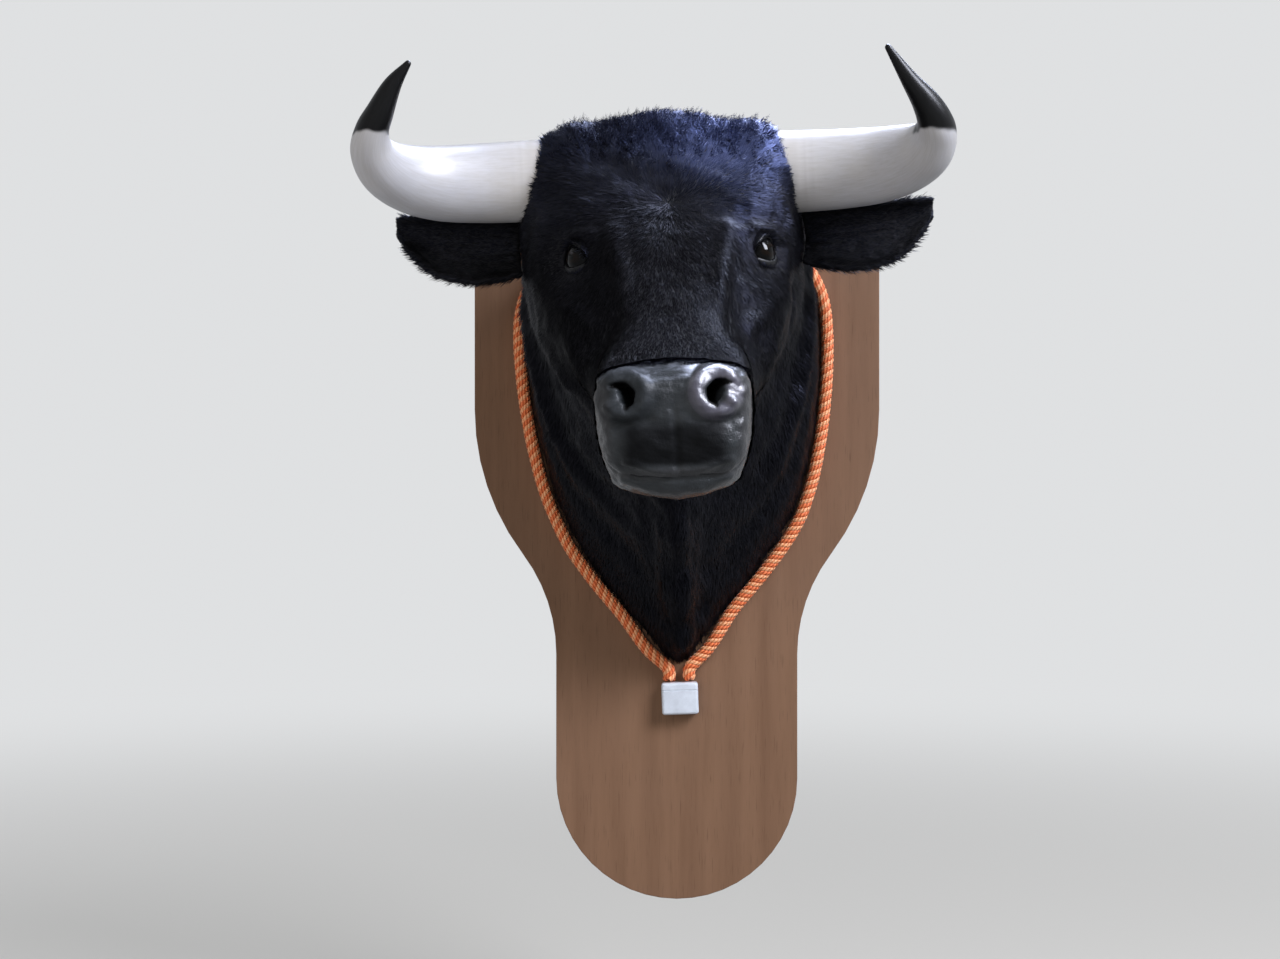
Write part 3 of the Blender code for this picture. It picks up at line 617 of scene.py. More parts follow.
headLook = {
    "voxel": 0.0029,
    "rounds": 9,
    "inset": 2.0,  # the hair stands this far out of the skin, mm, and further on the crown
    "crownInset": 4.6,
    "crownTopInset": 4.0,
    "cornerRise": 4.6,
    "strokes": (
        ("fold over the eye", ((60, 312, 184), (76, 306, 190), (94, 292, 189), (106, 274, 180)), 6, 4.0),
        ("crease over the eye", ((60, 306, 196), (78, 299, 201), (97, 284, 199), (110, 266, 188)), 4, -2.4),
        ("fold under the eye", ((66, 314, 148), (82, 307, 143), (98, 292, 146)), 6, 3.0),
        ("crease under the eye", ((62, 320, 138), (80, 312, 133), (98, 296, 137)), 4, -1.8),
        ("tear groove", ((70, 311, 158), (62, 326, 146), (56, 342, 128)), 5, -2.6),
        ("edge of the bridge", ((50, 318, 188), (46, 350, 150), (46, 385, 112), (50, 415, 84)), 10, 3.4),
        ("flat of the bridge", ((0, 322, 208), (0, 360, 154), (0, 405, 96)), 24, -2.0),
        ("face crest", ((98, 292, 126), (86, 326, 112), (74, 356, 98)), 9, 4.0),
        ("front of the cheek", ((90, 310, 92), (86, 322, 60), (80, 326, 26)), 13, 3.6),
        ("hollow before the cheek", ((76, 344, 78), (72, 352, 40), (66, 352, 8)), 15, -4.0),
        ("corner of the mouth", ((66, 424, -14), (71, 400, -10), (72, 378, -4)), 4.5, -3.6),
        ("fold over the mouth", ((68, 420, -2), (73, 398, 2), (74, 378, 8)), 7, 2.2),
        ("side of the nose", ((66, 430, 56), (66, 410, 66), (60, 385, 84)), 9, 2.6),
        ("jaw edge", ((74, 330, -4), (92, 284, 14), (108, 244, 50)), 13, 4.6),
        ("behind the jaw", ((122, 222, 130), (116, 216, 70), (98, 222, 14), (62, 236, -26)), 13, -6.0),
        ("neck fold", ((146, 165, 170), (140, 150, 90), (118, 142, 0), (62, 158, -86)), 16, -5.0),
        ("neck fold", ((152, 108, 150), (150, 100, 60), (122, 96, -50), (56, 112, -132)), 16, -4.4),
        ("swell of the neck", ((150, 130, 130), (146, 120, 50), (118, 118, -40)), 20, 4.4),
        ("hanging throat", ((0, 232, -64), (0, 180, -106), (0, 120, -160), (0, 60, -212)), 11, 6.5),
        ("beside the throat", ((34, 205, -74), (36, 140, -124), (32, 80, -178)), 15, -4.4),
        ("poll", ((44, 232, 306), (0, 230, 312)), 30, 3.0),
    ),
}
coatLook = {
    "length": 4.6,  # mm, on the front of the face, and the next five are added to it elsewhere
    "backOfFace": 3.4,
    "neck": 3.4,
    "poll": 3.5,
    "corners": 3.0,
    "throat": 2.5,
    "boardAt": -0.0235,  # no hair grows between this and the wall, in metres
}
eyeLook = {
    "at": (80.5, 290.0, 166.5),
    "radius": 17.5,
    "out": (0.80, 0.56, 0.12),
    "tiltDeg": 12,  # the outer corner lies higher
    "irisSqueeze": (0.62, 1.25),  # this makes the pupil a level slit
    "irisSize": 0.55,
}
hornRoots = {1: (108, 207, 254), -1: (-112, 207, 254)}
whorl = np.array((0, 303, 214), float)  # the coat parts here, between and above the eyes


def coatMaps(piece):
    # where hair grows, how long it is and which way it lies
    look = coatLook
    points, normals = pointsOf(piece.data), normalsOf(piece.data)
    heads = toHead(points)
    right, forward, up = heads.T
    aside = np.abs(right)
    out = unit(heads - whorl)
    back = 1 - softSteps(forward, 120, 260)
    out += back[:, None] * np.array((0, -0.5, -0.9))
    onTop = softSteps(up, 200, 290) * (1 - softSteps(forward, 230, 290))
    out += onTop[:, None] * np.array((0, -0.9, 0.2))
    pollNear = np.exp(-(((aside / 105) ** 2 + ((forward - 238) / 55) ** 2 + ((up - 298) / 50) ** 2) ** 2))
    turn = 0.20 * ripple(heads, 42, seed=3) + pollNear * 0.45 * ripple(heads, 22, seed=4)
    turn += 0.16 * ripple(heads, 12, seed=5)
    length = look["length"] + look["backOfFace"] * (1 - softSteps(forward, 300, 400)) + look["neck"] * back
    length += look["poll"] * pollNear + look["corners"] * hump((aside, 92, 24), (up, 296, 24))
    length += look["throat"] * (1 - softSteps(up, -160, -60)) * (aside < 60)
    length *= 1 + 0.12 * ripple(heads, 16, seed=6)
    coat = np.ones(len(heads))
    for side, root in hornRoots.items():
        inHorn = np.linalg.norm((heads - root)[:, 1:], axis=1)
        coat *= np.where((right * side > 100) & (inHorn < 40.5), 0, 1)
        eyeOut = np.array(eyeLook["out"]) * (side, 1, 1)
        eyeFront = np.array(eyeLook["at"]) * (side, 1, 1) + eyeOut * 12
        toEye = np.linalg.norm(heads - eyeFront, axis=1)
        coat *= softSteps(toEye, 13, 18)
        length *= 0.45 + 0.55 * softSteps(toEye, 18, 40)
    behind = -pastSeat(heads)
    coat *= np.where(behind < -1.5, 0, 1)
    length *= 1 - 0.45 * (1 - softSteps(behind, 2, 60)) * (1 - 0.9 * softSteps(up, 20, 45))
    coat *= np.where(points[:, 1] > look["boardAt"], 0, 1)
    storeValues(
        piece.data,
        flow=turnFlow(layFlat(out, normals), normals, turn),
        coat=coat,
        hairLength=length * 0.001,
        poll=pollNear * coat,
        gloss=glossAndSheenPaintOf(heads),
    )
    return piece


def glossAndSheenPaintOf(heads):
    # the coat's specular level, and the blue sheen painted into its colour where this runs high: most over
    # the forehead and the crown, on the window's side where the lamps fall, and less on the cheeks, the neck
    # and the bridge
    right, forward, up = heads.T
    aside = np.abs(right)
    toRight = softSteps(right, -70, 45)
    gloss = 0.36 - 0.16 * softSteps(forward, 290, 335) + 0.5 * softSteps(up, 160, 225)
    # raised on the window's side, so that the painted blue sheen lies where the light falls
    gloss += (0.5 + 1.7 * toRight) * softSteps(up, 240, 290)
    gloss += 1.8 * hump((right, 42, 42), (up, 262, 32)) * softSteps(forward, 200, 240)
    gloss += 1.8 * hump((right, 60, 26), (up, 290, 22))
    bridge = softSteps(forward, 215, 250)
    gloss += bridge * (0.26 * hump((right, 64, 10)) - 0.15 * (1 - softSteps(right, 5, 60)))
    gloss *= 1 - 0.5 * hump((right, -20, 38), (up, 200, 38))
    gloss *= 1 - 0.6 * softSteps(aside, 55, 85) * (1 - softSteps(up, 150, 215)) * softSteps(forward, 230, 270)
    return gloss * (0.3 + 0.7 * softSteps(-pastSeat(heads), 4, 60))


def meshArea(mesh, weights):
    # the area of a mesh, weighted by a value at each point
    mesh.calc_loop_triangles()
    corners = np.empty(len(mesh.loop_triangles) * 3, int)
    mesh.loop_triangles.foreach_get("vertices", corners)
    corners = corners.reshape(-1, 3)
    points = pointsOf(mesh)
    a, b, c = (points[corners[:, i]] for i in range(3))
    areas = np.linalg.norm(np.cross(b - a, c - a), axis=1) / 2
    return float((areas * weights[corners].mean(axis=1)).sum())


def valuesOf(mesh, name):
    data = mesh.attributes[name].data
    flat = np.empty(len(data), np.float32)
    data.foreach_get("value", flat)
    return flat


def makeHeadSkin():
    look = headLook
    piece = refine(copyNode("head", "headSkin"), look["voxel"], look["rounds"])
    shape(piece, look["strokes"])
    for side, (x, y, z) in hornRoots.items():  # a swelling round each horn
        turns = np.linspace(0, 2 * math.pi, 21)
        ring = [(x + side * 6, y + 43 * math.cos(a), z + 43 * math.sin(a)) for a in turns]
        liftBy(piece.data, 3.4 * mound(lineDistance(toHead(pointsOf(piece.data)), ring) / 18))
    heads = toHead(pointsOf(piece.data))
    behind = -pastSeat(heads)
    onBridge = softSteps(behind, 3, 14) * (1 - softSteps(behind, 45, 75)) * softSteps(heads[:, 2], 10, 40)
    relax(piece, onBridge, 90)
    heads = toHead(pointsOf(piece.data))
    aside, forward, up = np.abs(heads[:, 0]), heads[:, 1], heads[:, 2]
    calm = 1 - 0.65 * softSteps(forward, 285, 325) * (1 - softSteps(aside, 50, 72))
    drop = look["inset"] + look["crownInset"] * softSteps(up, 225, 300)
    drop -= calm * (0.55 * ripple(heads, 34, seed=8) + 0.18 * ripple(heads, 11, seed=9))
    drop -= look["cornerRise"] * hump((aside, 92, 26), (up, 296, 26))
    drop += look["crownTopInset"] * softSteps(up, 245, 300) * (1 - softSteps(aside, 62, 88))
    drop *= 0.75 + 0.25 * softSteps(-pastSeat(heads), 0, 55)
    liftBy(piece.data, -drop)
    piece.data.shade_smooth()
    piece.data.materials.append(hideFinish)
    return coatMaps(piece)


# hair by Geometry Nodes

hairLook = {
    "layers": {"coatA": 0.62, "coatB": 0.85, "coatC": 1.0, "coatD": 1.12},  # shares of the full length
    "hairsPerLayer": 58000,
    "width": 0.00075,
    "lift": 0.15,  # how steeply the hair stands off the skin, as a slope
    "wander": 0.17,
    "plainGloss": 0.7,  # where the skin has no map of it
    "curls": 900,
    "curlSize": 0.0092,
}


def hairBlade():
    # one hair of length 1 along Z, flat side to +X, bent back at its tip
    work = bmesh.new()
    rows = ((0.0, 0.0, 0.5), (0.06, 0.55, 0.42), (0.0, 1.0, 0.0))
    rings = []
    for x, z, half in rows:
        ring = [work.verts.new((x, half, z))]
        if half:
            ring.append(work.verts.new((x, -half, z)))
        rings.append(ring)
    work.faces.new((rings[0][0], rings[0][1], rings[1][1], rings[1][0]))
    work.faces.new((rings[1][0], rings[1][1], rings[2][0]))
    mesh = meshFrom(work, "hairBlade")
    mesh.shade_smooth()
    return newPiece("hairBlade", mesh)


def curlLock(strands=6, steps=5):
    # a small coiled lock of hair of length 1 along Z
    work = bmesh.new()
    rng = np.random.default_rng(11)
    for k in range(strands):
        phase, size = rng.uniform(0, 6.28), rng.uniform(0.75, 1.1)
        before = None
        for i in range(steps + 1):
            t = i / steps
            angle = phase + t * 5.2
            radius = (0.10 + 0.34 * math.sin(math.pi * min(t * 1.15, 1.0))) * size
            middle = Vector((radius * math.cos(angle), radius * math.sin(angle), t * size * 0.9))
            half = Vector((-math.sin(angle + 0.8), math.cos(angle + 0.8), 0.35)) * (0.065 * (1 - 0.8 * t))
            pair = (work.verts.new(middle + half), work.verts.new(middle - half))
            if before:
                work.faces.new((before[0], before[1], pair[1], pair[0]))
            before = pair
    mesh = meshFrom(work, "curlLock")
    mesh.shade_smooth()
    return newPiece("curlLock", mesh)


def makeHairTree():
    floats = ("Density", "Width", "Length Share", "Lift", "Wander")
    sockets = {label: "Float" for label in floats}
    sockets |= {"Where": "String", "Hair": "Object", "Seed": "Int", "Finish": "Material"}
    tree, given, result = newTree("hair over a skin", sockets)
    scatter = addNode(
        tree,
        "GeometryNodeDistributePointsOnFaces",
        {
            "Mesh": given["Geometry"],
            "Density": calc(tree, "MULTIPLY", namedValue(tree, given["Where"]), given["Density"]),
            "Seed": given["Seed"],
        },
        distribute_method="RANDOM",
    )
    normal = scatter.outputs["Normal"]
    stray = randomValue(tree, given["Seed"], (-1, -1, -1), (1, 1, 1), "FLOAT_VECTOR")
    lifted = vector(tree, "SCALE", normal, scale=given["Lift"])
    strayed = vector(tree, "SCALE", stray, scale=given["Wander"])
    combed = vector(tree, "ADD", namedValue(tree, "flow", "FLOAT_VECTOR"), lifted)
    way = vector(tree, "ADD", combed, strayed)
    along = addNode(tree, "FunctionNodeAlignRotationToVector", {"Vector": way}, axis="Z").outputs[0]
    inputs = {"Rotation": along, "Vector": normal}
    facing = addNode(tree, "FunctionNodeAlignRotationToVector", inputs, axis="X", pivot_axis="Z").outputs[0]
    uneven = randomValue(tree, given["Seed"], 0.7, 1.2)
    length = calc(tree, "MULTIPLY", namedValue(tree, "hairLength"), uneven)
    length = calc(tree, "MULTIPLY", length, given["Length Share"])
    size = addNode(tree, "ShaderNodeCombineXYZ", {"X": length, "Y": given["Width"], "Z": length}).outputs[0]
    hair = addNode(tree, "GeometryNodeObjectInfo", {"Object": given["Hair"]}).outputs["Geometry"]
    inputs = {"Points": scatter.outputs["Points"], "Instance": hair, "Rotation": facing, "Scale": size}
    grown = addNode(tree, "GeometryNodeInstanceOnPoints", inputs).outputs[0]
    toned = storeOn(tree, grown, "tone", randomValue(tree, 7, 0.0, 1.0), domain="INSTANCE")
    return finishTree(tree, toned, given["Finish"], result)


def dropExtras(mesh, kept=("tone", "gloss", "position")):
    for name in [a.name for a in mesh.attributes]:
        attribute = mesh.attributes.get(name)
        if attribute and name not in kept and not name.startswith(".") and not attribute.is_required:
            mesh.attributes.remove(attribute)


def growHair(skin, name, hair, tree, count, **values):
    weights = valuesOf(skin.data, values.get("Where", "coat"))
    settings = {
        "Density": count / meshArea(skin.data, weights),
        "Where": "coat",
        "Hair": hair,
        "Width": hairLook["width"],
        "Length Share": 1.0,
        "Lift": hairLook["lift"],
        "Wander": hairLook["wander"],
        "Finish": coatFinish,
        **values,
    }
    coat = newPiece(name, skin.data.copy())
    coat.data.materials.clear()
    if "gloss" not in coat.data.attributes:
        storeValues(coat.data, gloss=np.full(len(coat.data.vertices), hairLook["plainGloss"]))
    coat = runTree(coat, tree, settings)
    dropExtras(coat.data)
    coat.data.materials.clear()
    coat.data.materials.append(settings["Finish"])
    print(name, "has", len(coat.data.polygons), "faces")
    return coat


def makeCoat(skin, tree, hair):
    coats = []
    for seed, (name, share) in enumerate(hairLook["layers"].items(), 20):
        values = {"Seed": seed, "Length Share": share}
        coats.append(growHair(skin, name, hair, tree, hairLook["hairsPerLayer"], **values))
    return coats


def makePollCurls(skin, tree):
    lock = curlLock()
    locks = growHair(
        skin, "pollCurls", lock, tree, hairLook["curls"], Where="poll", Seed=40, Lift=0.55, Wander=0.5,
        Width=hairLook["curlSize"], Finish=pollFinish,
    )
    bpy.data.objects.remove(lock, do_unlink=True)
    return locks


# muzzle

muzzleLook = {
    "voxel": 0.0013,
    "rounds": 3,
    "nostrilAt": (38, 30),  # aside and up, in mm; both lie 4 mm further to the left
    "nostrilAside": -4.0,
    # the nostril's slit: aside, up and half width
    "slit": (
        (12.5, 7.5, 1.7), (8, 8.5, 2.9), (2, 7, 3.9), (-3.5, 1.5, 4.4), (-3.5, -6, 3.6), (0, -11.5, 2.2),
    ),
    "slitDepth": 15.0,
    "rimRadius": 17.0,
    # folds round each nostril, down the middle and on the lips: (aside, up) lines with reach and height
    "nostrilFolds": (
        (((26, 10), (25, -2), (20, -12)), 5, 1.6),
        (((7, -2), (12, -6)), 5, 3.4),
        (((4, -18), (11, -15), (14, -9)), 5, 2.2),
        (((22, 4), (29, 14)), 3.2, -1.8),
        (((-20, -22), (0, -26), (18, -22)), 4, -1.5),
    ),
    "lips": (
        (((-2, 18), (-1, -4), (0, -24), (0, -37)), 3.4, -1.5),
        (((-44, -26), (-22, -34), (0, -36), (22, -34), (44, -26)), 3.4, 2.2),
        (((-46, -42), (-22, -52), (0, -54), (22, -52), (44, -42)), 4.5, 2.0),
    ),
    "middle": (-1.5, 425, 5),
    "tuckBelow": 0.055,  # the back's share of the way to the middle, and how far back it reaches in metres
    "tuckOnTop": 0.030,
    "tuckBack": 0.009,
    "hairs": 15000,
}


def frontDistance(heads, line):
    # distance to a line on the front of the muzzle, given as (aside, up), less its half width
    best = np.full(len(heads), 1e9)
    flat = heads[:, [0, 2]]
    line = np.asarray(line, float)
    for a, b in zip(line, line[1:]):
        run = b[:2] - a[:2]
        share = np.clip((flat - a[:2]) @ run / (run @ run), 0, 1)
        far = np.linalg.norm(flat - a[:2] - share[:, None] * run, axis=1)
        best = np.minimum(best, far - (a[2] + share * (b[2] - a[2])))
    return best


def makeMuzzle():
    look = muzzleLook
    piece = refine(copyNode("muzzle", "muzzleSkin"), look["voxel"], look["rounds"])
    heads = toHead(pointsOf(piece.data))
    normals = normalsOf(piece.data)
    onFront = softSteps(heads[:, 1], 440, 452)
    x, z = look["nostrilAt"]
    lift = np.zeros(len(heads))
    sunk = np.zeros(len(heads))

    def press(line, reach, height):
        far = frontDistance(heads, [(*point, 0) for point in line]) / (1.8 * reach)
        return onFront * height * mound(far)

    def byNostril(side, line):
        return [(side * (x + a) + look["nostrilAside"], z + b, *rest) for a, b, *rest in line]

    for side in (1, -1):
        ring = [
            (look["rimRadius"] * math.cos(a) * 0.95, 1 + look["rimRadius"] * math.sin(a))
            for a in np.radians(np.linspace(38, 318, 15))
        ]
        lift += press(byNostril(side, ring), 6.3, 4.6 + 0.8 * (side > 0))
        for line, reach, height in look["nostrilFolds"]:
            lift += press(byNostril(side, line), reach, height)
        slit = frontDistance(heads, byNostril(side, look["slit"]))
        sunk = np.maximum(sunk, (1 - softSteps(slit, -1.6, 0.9)) * softSteps(heads[:, 1], 446, 454))
    for side in (1, -1):
        lift += press([(side * 30 - 2, -8), (side * 46 - 2, -12)], 11, 2.2)
        lift += press([(side * 56 - 2, 8), (side * 55 - 2, -24), (side * 42 - 2, -40)], 5, 1.6)
    for line, reach, height in look["lips"]:
        lift += press(line, reach, height)
    lift += 0.35 * ripple(heads, 14, seed=21) + 0.18 * ripple(heads, 5, seed=22)
    points = pointsOf(piece.data) + normals * (lift * 0.001)[:, None]
    # the nostrils go deep, and the back reaches under the coat of the face
    inward = np.sign(heads[:, :1]) * (-0.3, 0, 0) + (0, 0.95, 0.05)
    points += inward * (sunk * look["slitDepth"] * 0.001)[:, None]
    tucked = 1 - softSteps(pastSeat(heads), 0.2, 3.0)
    tuck = look["tuckBelow"] + (look["tuckOnTop"] - look["tuckBelow"]) * softSteps(heads[:, 2], 25, 50)
    points += (toRow(look["middle"]) - points) * (tuck * tucked)[:, None] * (1, 0, 1)
    points[:, 1] += look["tuckBack"] * tucked
    movePoints(piece.data, points)
    piece = refine(piece, look["voxel"], 1)
    markMuzzle(piece)
    piece.data.shade_smooth()
    piece.data.materials.clear()
    piece.data.materials.append(noseFinish)
    return piece


def markMuzzle(piece):
    # where the leather is painted darker for shade, on the lip and inside the nostrils, and paler for
    # highlights, on its edges and round the right nostril; where it is glossier or dry; and where short hair
    # grows over its edge
    look = muzzleLook
    x, z = look["nostrilAt"]
    heads = toHead(pointsOf(piece.data))
    past = pastSeat(heads)
    aside, up = np.abs(heads[:, 0] + 2), heads[:, 2]
    # painted shade: the lip, which faces down, is darker
    lip = softSteps(-up, -14, 2) * (1 - softSteps(-up, 27, 35)) * (1 - softSteps(aside, 36, 54))
    # rim: a painted highlight, paler on the muzzle's side edges and on the lip arcs
    low = softSteps(-up, 50, 56) + 0.8 * (softSteps(-up, 31, 36) - softSteps(-up, 38, 43))
    rim = np.clip(softSteps(aside, 50, 60) * (1 - softSteps(up, 30, 52)) + low, 0, 1)
    hollow, ring = np.zeros(len(heads)), np.zeros(len(heads))
    dry = softSteps(up, 34, 48) * (1 - softSteps(heads[:, 0], 4, 22))
    for side in (1, -1):
        off = np.hypot(heads[:, 0] - side * x - look["nostrilAside"], heads[:, 2] - z) - look["rimRadius"]
        # painted highlight: the ring round the right nostril, which faces the lamps
        if side > 0:
            ring = (1 - softSteps(np.abs(off), 3, 9)) * (heads[:, 1] > 446)
        else:
            dry = np.maximum(dry, 0.85 * (1 - softSteps(off, 8, 18)))
        line = [(side * (x + a) + look["nostrilAside"], z + b, r) for a, b, r in look["slit"]]
        inSlit = softSteps(-frontDistance(heads, line), -0.8, 1.2)
        # painted shade: the nostril hollows are darkened
        hollow = np.maximum(hollow, inSlit * (heads[:, 1] > 446))
    ragged = past + 2.2 * ripple(heads, 14, seed=25)
    ragged -= 6 * softSteps(aside, 35, 60) * (1 - softSteps(up, 20, 50)) + 12 * softSteps(up, 30, 52)
    edge = (1 - softSteps(ragged, 1, 17)) * (past > -6)
    storeValues(
        piece.data,
        lip=lip * (1 - hollow),
        rim=rim * (1 - hollow) * softSteps(past, -1, 6),
        hollow=hollow,
        ring=ring * (1 - hollow),
        dry=dry,
        flow=layFlat(heads - whorl, normalsOf(piece.data)),
        coat=edge,
        gloss=0.15 + 0.55 * softSteps(up, 36, 52),
        furred=1 - softSteps(ragged, 4, 19),
        hairLength=0.001 * (2.0 + 3.0 * edge),
    )


# eyes and lids

lidLook = {  # the opening and its depth are in degrees from the middle of the ball
    "openWide": 70.0,
    "openUp": 39.0,
    "openDown": 34.0,
    "taper": 0.42,
    "deepest": 94.0,
    "furthest": 104,
    "rim": ((0.2, 0.5), (1.0, -1.0), (1.9, 0.4), (2.3, 2.6)),  # mm off the ball, degrees past the opening
    "upperExtra": 0.5,  # mm, the upper lid is thicker
    "swell": 1.1,
    "sink": 3.4,
    "crease": 0.7,
    "creaseAt": 0.30,  # shares of the way from the rim
    "creaseWide": 0.10,
    "bareRings": 5,
    "lashRing": 2,
    "steps": 80,
    "rings": 18,
    "hairs": 2600,
    "lashes": 110,
}


def eyeFrame(side):
    out = Vector(eyeLook["out"])
    out.x *= side
    out.normalize()
    upward = Vector((0, 0, 1))
    along = out.cross(upward).normalized()  # level, along the face
    rise = along.cross(out).normalized()
    if rise.z < 0:
        rise, along = -rise, -along
    tilt = math.radians(eyeLook["tiltDeg"]) * (1 if along.y > 0 else -1)
    c, s = math.cos(tilt), math.sin(tilt)
    return out, along * c - rise * s, rise * c + along * s


def makeEye(side, name):
    out, along, rise = (np.array(way) for way in eyeFrame(side))
    work = bmesh.new()
    bmesh.ops.create_uvsphere(work, u_segments=64, v_segments=40, radius=1.0)
    mesh = meshFrom(work, name)
    ball = pointsOf(mesh)
    heads = (ball[:, :1] * along + ball[:, 1:2] * rise + ball[:, 2:] * out) * eyeLook["radius"]
    movePoints(mesh, toRow(heads + np.array(eyeLook["at"]) * (side, 1, 1)))
    wide, tall = eyeLook["irisSqueeze"]
    iris = np.hypot(ball[:, 0] * wide, ball[:, 1] * tall) / eyeLook["irisSize"]
    storeValues(mesh, iris=np.where(ball[:, 2] > 0, iris, 2.0))
    turnOut(mesh)
    mesh.shade_smooth()
    return newPiece(name, mesh, eyeFinish)


def makeLids(side, name):
    # a shell over the ball with an almond opening and a rolled rim, haired but for the rim
    out, along, rise = eyeFrame(side)
    look = lidLook
    work = bmesh.new()
    rings, bare, lash = [], [], []
    last = len(look["rim"]) - 1
    for i in range(look["rings"]):
        ring = []
        for k in range(look["steps"]):
            turn = 2 * math.pi * k / look["steps"]
            upper = max(math.sin(turn), 0.0)
            high = look["openUp"] if math.sin(turn) > 0 else look["openDown"]
            wide = math.cos(turn) * look["openWide"]
            tall = math.sin(turn) * high * (1 - look["taper"] * math.cos(turn) ** 2)
            opening = math.hypot(wide, tall)
            thick, past = look["rim"][min(i, last)]
            off = thick + look["upperExtra"] * upper
            away = opening + past
            if i > last:
                s = (i - last) / (look["rings"] - 1 - last)
                away += (look["deepest"] - opening) * s**1.15
                off += look["swell"] * math.sin(math.pi * min(1.0, s * 1.5))
                off -= look["sink"] * s**2.6
                fold = (s - look["creaseAt"]) / look["creaseWide"]
                off -= look["crease"] * upper * math.exp(-(fold**2))
            a = math.radians(min(away, look["furthest"]))
            direction = (along * (wide / opening) + rise * (tall / opening)) * math.sin(a) + out * math.cos(a)
            ring.append(work.verts.new(direction * (eyeLook["radius"] + off)))
            haired = i - look["bareRings"]
            bare.append(0.0 if haired < 0 else min(1.0, 0.5 + 0.25 * haired))
            lash.append(1.0 if i == look["lashRing"] and 0.35 < turn < 2.8 else 0.0)
        rings.append(ring)
    for near, far in zip(rings, rings[1:]):
        for k in range(look["steps"]):
            n = (k + 1) % look["steps"]
            work.faces.new((near[k], near[n], far[n], far[k]))
    bmesh.ops.recalc_face_normals(work, faces=work.faces)
    mesh = meshFrom(work, name)
    if (normalsOf(mesh) @ np.array(out)).sum() < 0:
        mesh.flip_normals()
    local = pointsOf(mesh)
    at = np.array(eyeLook["at"]) * (side, 1, 1)
    movePoints(mesh, toRow(local + at))
    if (normalsOf(mesh) * (pointsOf(mesh) - toRow(at))).sum() < 0:
        mesh.flip_normals()
    away = unit(local - np.array(out) * (local @ np.array(out))[:, None])
    flow = layFlat(away * 0.65 + unit(local + at - whorl) * 0.6, normalsOf(mesh))
    bare = np.array(bare)
    storeValues(mesh, flow=flow, coat=bare, lash=lash, hairLength=0.001 * (2.2 + 1.6 * bare))
    mesh.shade_smooth()
    return newPiece(name, mesh, lidFinish)


# horns, swept along their middle lines by Geometry Nodes

hornLook = {
    "sides": 56,
    "rows": 260,
    "ringHeight": 0.0045,  # as a share of the horn's radius
    "ringCount": 26.0,
    "ringsUntil": 0.22,
    "tipLevel": {"hornLeft": 277, "hornRight": 279},  # mm, the height where the black starts
    "tipForward": (296, 304),  # mm, and it is found only ahead of this
    "tipBlur": 1.6,
    "tipWave": 1.1,
    "linePoints": 240,
}
hornLines = {  # aside, forward, up and radius, mm
    "hornLeft": (
        (-112, 207, 254, 40.0), (-145, 208, 254, 39.5), (-182, 214, 253, 38.5), (-219, 230, 252, 36.5),
        (-247, 253, 254, 32.5), (-266, 279, 261, 27.0), (-275, 303, 274, 20.5), (-272, 320, 289, 16.0),
        (-263, 330, 304, 13.0), (-249, 340, 327, 8.5), (-233, 347, 345, 3.0),
    ),
    "hornRight": (
        (108, 207, 254, 40.0), (138, 208, 254, 39.5), (172, 214, 254, 38.5), (204, 229, 254, 36.5),
        (229, 252, 256, 32.5), (244, 277, 260, 26.5), (250, 300, 270, 20.5), (248, 316, 280, 16.5),
        (239, 328, 295, 13.0), (223, 339, 315, 8.0), (204, 347, 343, 3.0),
    ),
}


def smoothLine(points, count):
    # even points on a smooth curve through the given ones
    points = np.asarray(points, float)
    dense = []
    for t in np.linspace(0, len(points) - 1, 200 * len(points)):
        i = min(int(t), len(points) - 2)
        f = t - i
        b, c = points[i], points[i + 1]
        a = points[i - 1] if i else 2 * b - c
        d = points[i + 2] if i + 2 < len(points) else 2 * c - b
        blend = 2 * b + (c - a) * f + (2 * a - 5 * b + 4 * c - d) * f**2 + (3 * b - a - 3 * c + d) * f**3
        dense.append(blend / 2)
    dense = np.array(dense)
    along = np.concatenate([[0], np.cumsum(np.linalg.norm(np.diff(dense[:, :3], axis=0), axis=1))])
    wanted = np.linspace(0, along[-1], count)
    return np.stack([np.interp(wanted, along, dense[:, k]) for k in range(dense.shape[1])], axis=1)


def routeCurve(name, points, radii=None):
    curve = bpy.data.curves.new(name, "CURVE")
    curve.dimensions = "3D"
    spline = curve.splines.new("POLY")
    spline.points.add(len(points) - 1)
    for i, point in enumerate(points):
        spline.points[i].co = (*point, 1)
        spline.points[i].radius = 1.0 if radii is None else radii[i]
    piece = bpy.data.objects.new(name, curve)
    bpy.context.scene.collection.objects.link(piece)
    return piece


def sweep(tree, curve, profile, radius):
    inputs = {"Curve": curve, "Profile Curve": profile, "Scale": radius, "Fill Caps": True}
    return addNode(tree, "GeometryNodeCurveToMesh", inputs).outputs[0]


def roundProfile(tree, sides, radius):
    # each point keeps its way out from the middle, so that a pattern can run round with no seam
    circle = addNode(tree, "GeometryNodeCurvePrimitiveCircle", {"Resolution": sides, "Radius": radius})
    way = vector(tree, "NORMALIZE", addNode(tree, "GeometryNodeInputPosition").outputs[0])
    return storeOn(tree, circle.outputs[0], "around", way, "FLOAT_VECTOR")


